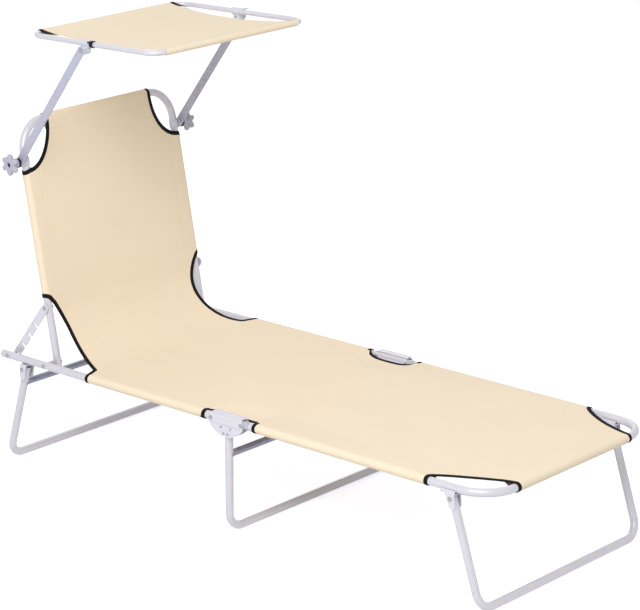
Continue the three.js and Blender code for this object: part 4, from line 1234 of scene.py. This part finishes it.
def prism(outline, low, high, out):
    """A plate with eased edges across X, from an outline in the side view."""
    centre = sum(outline, Vector()) / len(outline)
    sections = ((low, PLATE_EASE), (low + PLATE_EASE, 0), (high - PLATE_EASE, 0), (high, PLATE_EASE))
    return loft([[p + (centre - p).normalized() * inset + out * x for p in outline] for x, inset in sections])


def make_brackets():
    top = RAIL.z + PLATE_TOP
    for leg, outline, inset, rise in BRACKETS:
        pivot = axle(leg + "_pin_right")
        cheek = [side_view(pivot.y + y, min(pivot.z + z, top + rise)) for y, z in outline]
        head, foot = outline[0][0], outline[-1][0]
        plate = [side_view(pivot.y + y, top - z) for y, z in (
            (head, 0), (head, PLATE_THICK), (foot, PLATE_THICK), (foot, 0))]
        inner, outer = RAIL.x - inset, RAIL.x
        for name, out in SIDES:
            shell = joined(prism(cheek, outer + CHEEK_NEAR, outer + CHEEK_FAR, out),
                           prism(cheek, inner - CHEEK_FAR, inner - CHEEK_NEAR, out),
                           prism(plate, inner - CHEEK_NEAR, outer + CHEEK_NEAR, out))
            stand_in(f"{leg}_channel_{name}", shell, f"{leg}_bracket_{name}")


# The arms, their clamps and star knobs

KNOB_RINGS = (
    (0, 0.0112, 0), (0.0008, 0.012, 0), (0.0105, 0.012, 0), (0.0122, 0.0136, 0.3), (0.0134, 0.0182, 0.9),
    (0.0146, 0.0206, 1), (0.0162, 0.0215, 1), (0.0202, 0.0215, 1), (0.0222, 0.0206, 1),
    (0.0234, 0.0188, 0.9), (0.0239, 0.0166, 0.7), (0.024, 0.0105, 0), (0.024, 0.0064, 0),
    (0.0234, 0.0057, 0), (0.0200, 0.0052, 0), (0.0200, 0.0008, 0))
KNOB_SIDES = 96
KNOB_RECESS = 0.0201
# The black disc at the bottom of the knob's recess is painted shade for its dark hollow
KNOB_RECESS_SHADE_DISC = ((0, 0.0046), (0.0006, 0.0044), (0.0007, 0.0012))
LOBE = 0.0035
WASHER_RADIUS = 0.011
ARM_EASE = 0.0009
ARM_RIM = 0.0026
ARM_PANEL = 0.0034
ARM_PRESSED = 0.0006
ARM_END_STEPS = 14
CLAMP_RING = (0.009, 0.00905, 0.0103)
CLAMP_START = BACK_HALF + 0.0093
CLAMP_SHOULDER = BACK_HALF + 0.012


def star(angle):
    """A star knob's outline: six broad lobes with narrow notches between them."""
    return LOBE * (1 - 2.5 * abs(sin(3 * angle)) ** 3)


def flat_bar(start, end, low, high, out):
    """A flat bar across X with round ends, eased edges and a shallow pressed panel on its outside."""
    along = (end - start).normalized()
    across = X_AXIS.cross(along)

    def outline(x, inset):
        ring = []
        for centre, turn in ((end, 0), (start, pi)):
            for angle in steps(ARM_END_STEPS, turn - pi / 2, turn + pi / 2):
                spoke = along * cos(angle) + across * sin(angle)
                ring.append(centre + spoke * (ARM_HALF - inset) + out * x)
        return ring

    sections = ((low, ARM_EASE), (low + ARM_EASE, 0), (high - ARM_EASE, 0), (high, ARM_EASE),
                (high, ARM_RIM), (high - ARM_PRESSED, ARM_PANEL))
    return loft([outline(*section) for section in sections])


def make_arms():
    knob_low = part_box("knob_right")[0].x
    arm_low, arm_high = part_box("canopy_arm_right")
    washer_low, washer_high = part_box("arm_washer_right")
    clamp_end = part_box("arm_clamp_right")[1].x
    boss_profile = ((CLAMP_START, 0.0118), (CLAMP_SHOULDER, 0.0112), (clamp_end - 0.0008, 0.011),
                    (clamp_end, 0.0102), (clamp_end, PIN_BORE), (CLAMP_START, PIN_BORE))
    pivot = axle("arm_bolt_right")
    for name, out in SIDES:
        head = turned(pivot + out * knob_low, out, KNOB_RINGS, KNOB_SIDES, star)
        stand_in(f"star_knob_{name}", head, f"knob_{name}", 50)
        half = (washer_high.x - washer_low.x) / 2
        disc = collar(pivot + out * (washer_low.x + half), out, half, PIN_BORE, WASHER_RADIUS)
        stand_in(f"washer_disc_{name}", disc, f"arm_washer_{name}")
        bar = flat_bar(pivot, CANOPY_HINGE, arm_low.x, arm_high.x, out)
        # The arm's darker finish is its own paint with painted shade
        stand_in(f"arm_bar_{name}", bar, f"canopy_arm_{name}", 25, "arm_paint")
        ring = collar(pivot + out * BACK_HALF, BACK_UP, *CLAMP_RING)
        boss = turned(pivot, out, boss_profile, closed=True)
        stand_in(f"clamp_ring_{name}", joined(ring, boss), f"arm_clamp_{name}", finish="clip_plastic")
        # A black disc in the knob's recess: painted shade
        socket = turned(pivot + out * (knob_low + KNOB_RECESS), out, KNOB_RECESS_SHADE_DISC)
        trim(f"knob_recess_painted_shade_{name}", [socket], "black_plastic", f"knob_{name}")


# The canopy's clips and locks. Rings on its tube are (half length, inner radius, outer radius, ease)

CLIP_RING = (0.013, 0.0063, 0.0085, 0.0012)
LOCK_RING = (0.0045, 0.0063, 0.0081)
LOCK_PLACE = -0.0185
WING_LOW = (CANOPY_HALF + 0.004, -0.0235, 0.0051)
WING_HIGH = (CANOPY_HALF + 0.015, -0.0145, 0.0081)
WING_EASE = 0.0012
LUG_START = CANOPY_HALF - 0.0045
LUG_BORE = 0.0028


def block_on_canopy(out, low, high, ease):
    """A block with eased edges, between corners given as (x, along, out)."""
    work = bmesh.new()
    bmesh.ops.create_cube(work, size=1)
    bmesh.ops.scale(work, vec=[high[k] - low[k] for k in range(3)], verts=work.verts)
    bmesh.ops.bevel(work, geom=work.edges[:], offset=ease, segments=3, affect="EDGES", profile=0.5)
    centre = [(high[k] + low[k]) / 2 for k in range(3)]
    points = [out * (v.co.x + centre[0]) + on_canopy(v.co.y + centre[1], v.co.z + centre[2])
              for v in work.verts]
    faces = [tuple(v.index for v in face.verts) for face in work.faces]
    work.free()
    return points, faces


def make_clips():
    lug_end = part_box("canopy_clip_right")[1].x
    lug_profile = ((LUG_START, LUG_BORE), (LUG_START, 0.0085), (LUG_START + 0.0015, 0.010),
                   (lug_end - 0.001, 0.010), (lug_end, 0.009), (lug_end, LUG_BORE))
    for name, out in SIDES:
        ring = collar(on_canopy(0) + out * CANOPY_HALF, CANOPY_ALONG, *CLIP_RING)
        lug = turned(CANOPY_HINGE, out, lug_profile, closed=True)
        stand_in(f"clip_body_{name}", joined(ring, lug), f"canopy_clip_{name}")
        band = collar(on_canopy(LOCK_PLACE) + out * CANOPY_HALF, CANOPY_ALONG, *LOCK_RING)
        wing = block_on_canopy(out, WING_LOW, WING_HIGH, WING_EASE)
        # The photographed right lock is pale and the left one black
        finish = "clip_plastic" if name == "right" else None
        stand_in(f"lock_tab_{name}", joined(band, wing), f"canopy_lock_{name}", finish=finish)


# Studio

WORLD_COLOUR = (0.98, 0.98, 1, 1)
WORLD_LIGHT = 0.6
LAMPS = (("key", (-2.5, -1.5, 3.2), 2.2, 103), ("fill", (-3.2, 1.6, 1.8), 2.2, 8),
         ("back", (2.6, 2.4, 2.6), 2.4, 15))
LAMP_AIM = Vector((0, 0.1, 0.4))
FLOOR_HALF = 12
FLOOR_DROP = 0.0005
FLOOR_GREY = (0.8, 0.8, 0.8, 1)
FLOOR_GLOW = (0.6, 0.62, 0.67, 1)


def studio():
    """White for the rays that see it, soft light for the others, and three lamps."""
    world = bpy.data.worlds.new("studio")
    bpy.context.scene.world = world
    world.use_nodes = True
    tree = world.node_tree
    tree.nodes.clear()
    lit = add_node(tree, "Background", {"Color": WORLD_COLOUR, "Strength": WORLD_LIGHT})
    white = add_node(tree, "Background", {"Color": (1, 1, 1, 1)})
    mix = add_node(tree, "MixShader", {0: white_rays(tree), 1: lit.outputs[0], 2: white.outputs[0]})
    add_node(tree, "OutputWorld", {0: mix.outputs[0]})
    for name, place, size, power in LAMPS:
        light = made(bpy.data.lights.new(name, "AREA"), size=size, energy=power)
        aim = (LAMP_AIM - Vector(place)).to_track_quat("-Z", "Y")
        made(shown(name, light), location=place, rotation_euler=aim.to_euler())


def floor():
    """A floor that takes shadows and is nearly white for the rays that see it."""
    half = FLOOR_HALF
    corners = [(-half, -half), (half, -half), (half, half), (-half, half)]
    mesh = bpy.data.meshes.new("floor")
    mesh.from_pydata([(x, y, -FLOOR_DROP) for x, y in corners], [], [(0, 1, 2, 3)])
    finish = Finish("floor", Roughness=1.0, Specular_IOR_Level=0.0, Base_Color=FLOOR_GREY)
    finish.set(Emission_Color=FLOOR_GLOW, Emission_Strength=white_rays(finish.tree))
    mesh.materials.append(finish.material)
    shown("floor", mesh)


# Camera at the photograph's place

IMAGE_WIDTH = 640
FOCAL_PIXELS = 2809.97
SENSOR = 36.0
CAMERA_PLACE = Vector((-4.4809, -3.8843, 2.2883))
CAMERA_AZIMUTH = radians(-49.17)
CAMERA_PITCH = radians(17.17)
CAMERA_ROLL = radians(0.13)
CAMERA_END = 60


def camera():
    lens = FOCAL_PIXELS * SENSOR / IMAGE_WIDTH
    data = made(bpy.data.cameras.new("camera"), sensor_width=SENSOR, lens=lens, clip_end=CAMERA_END)
    turns = ((CAMERA_AZIMUTH, "Z"), (pi / 2 - CAMERA_PITCH, "X"), (CAMERA_ROLL, "Z"))
    place = Matrix.Translation(CAMERA_PLACE)
    for angle, axis in turns:
        place = place @ Matrix.Rotation(angle, 4, axis)
    bpy.context.scene.camera = made(shown("camera", data), matrix_world=place)


camera()
make_tubes()
make_crossbars()
make_back_cloth()
make_seat_cloth()
make_foot_cloth()
make_canopy_cloth()
make_pins()
make_bushes()
make_arms()
make_clips()
make_shells()
make_brackets()
dress_nodes()
studio()
floor()
bpy.context.scene.view_settings.view_transform = "Standard"
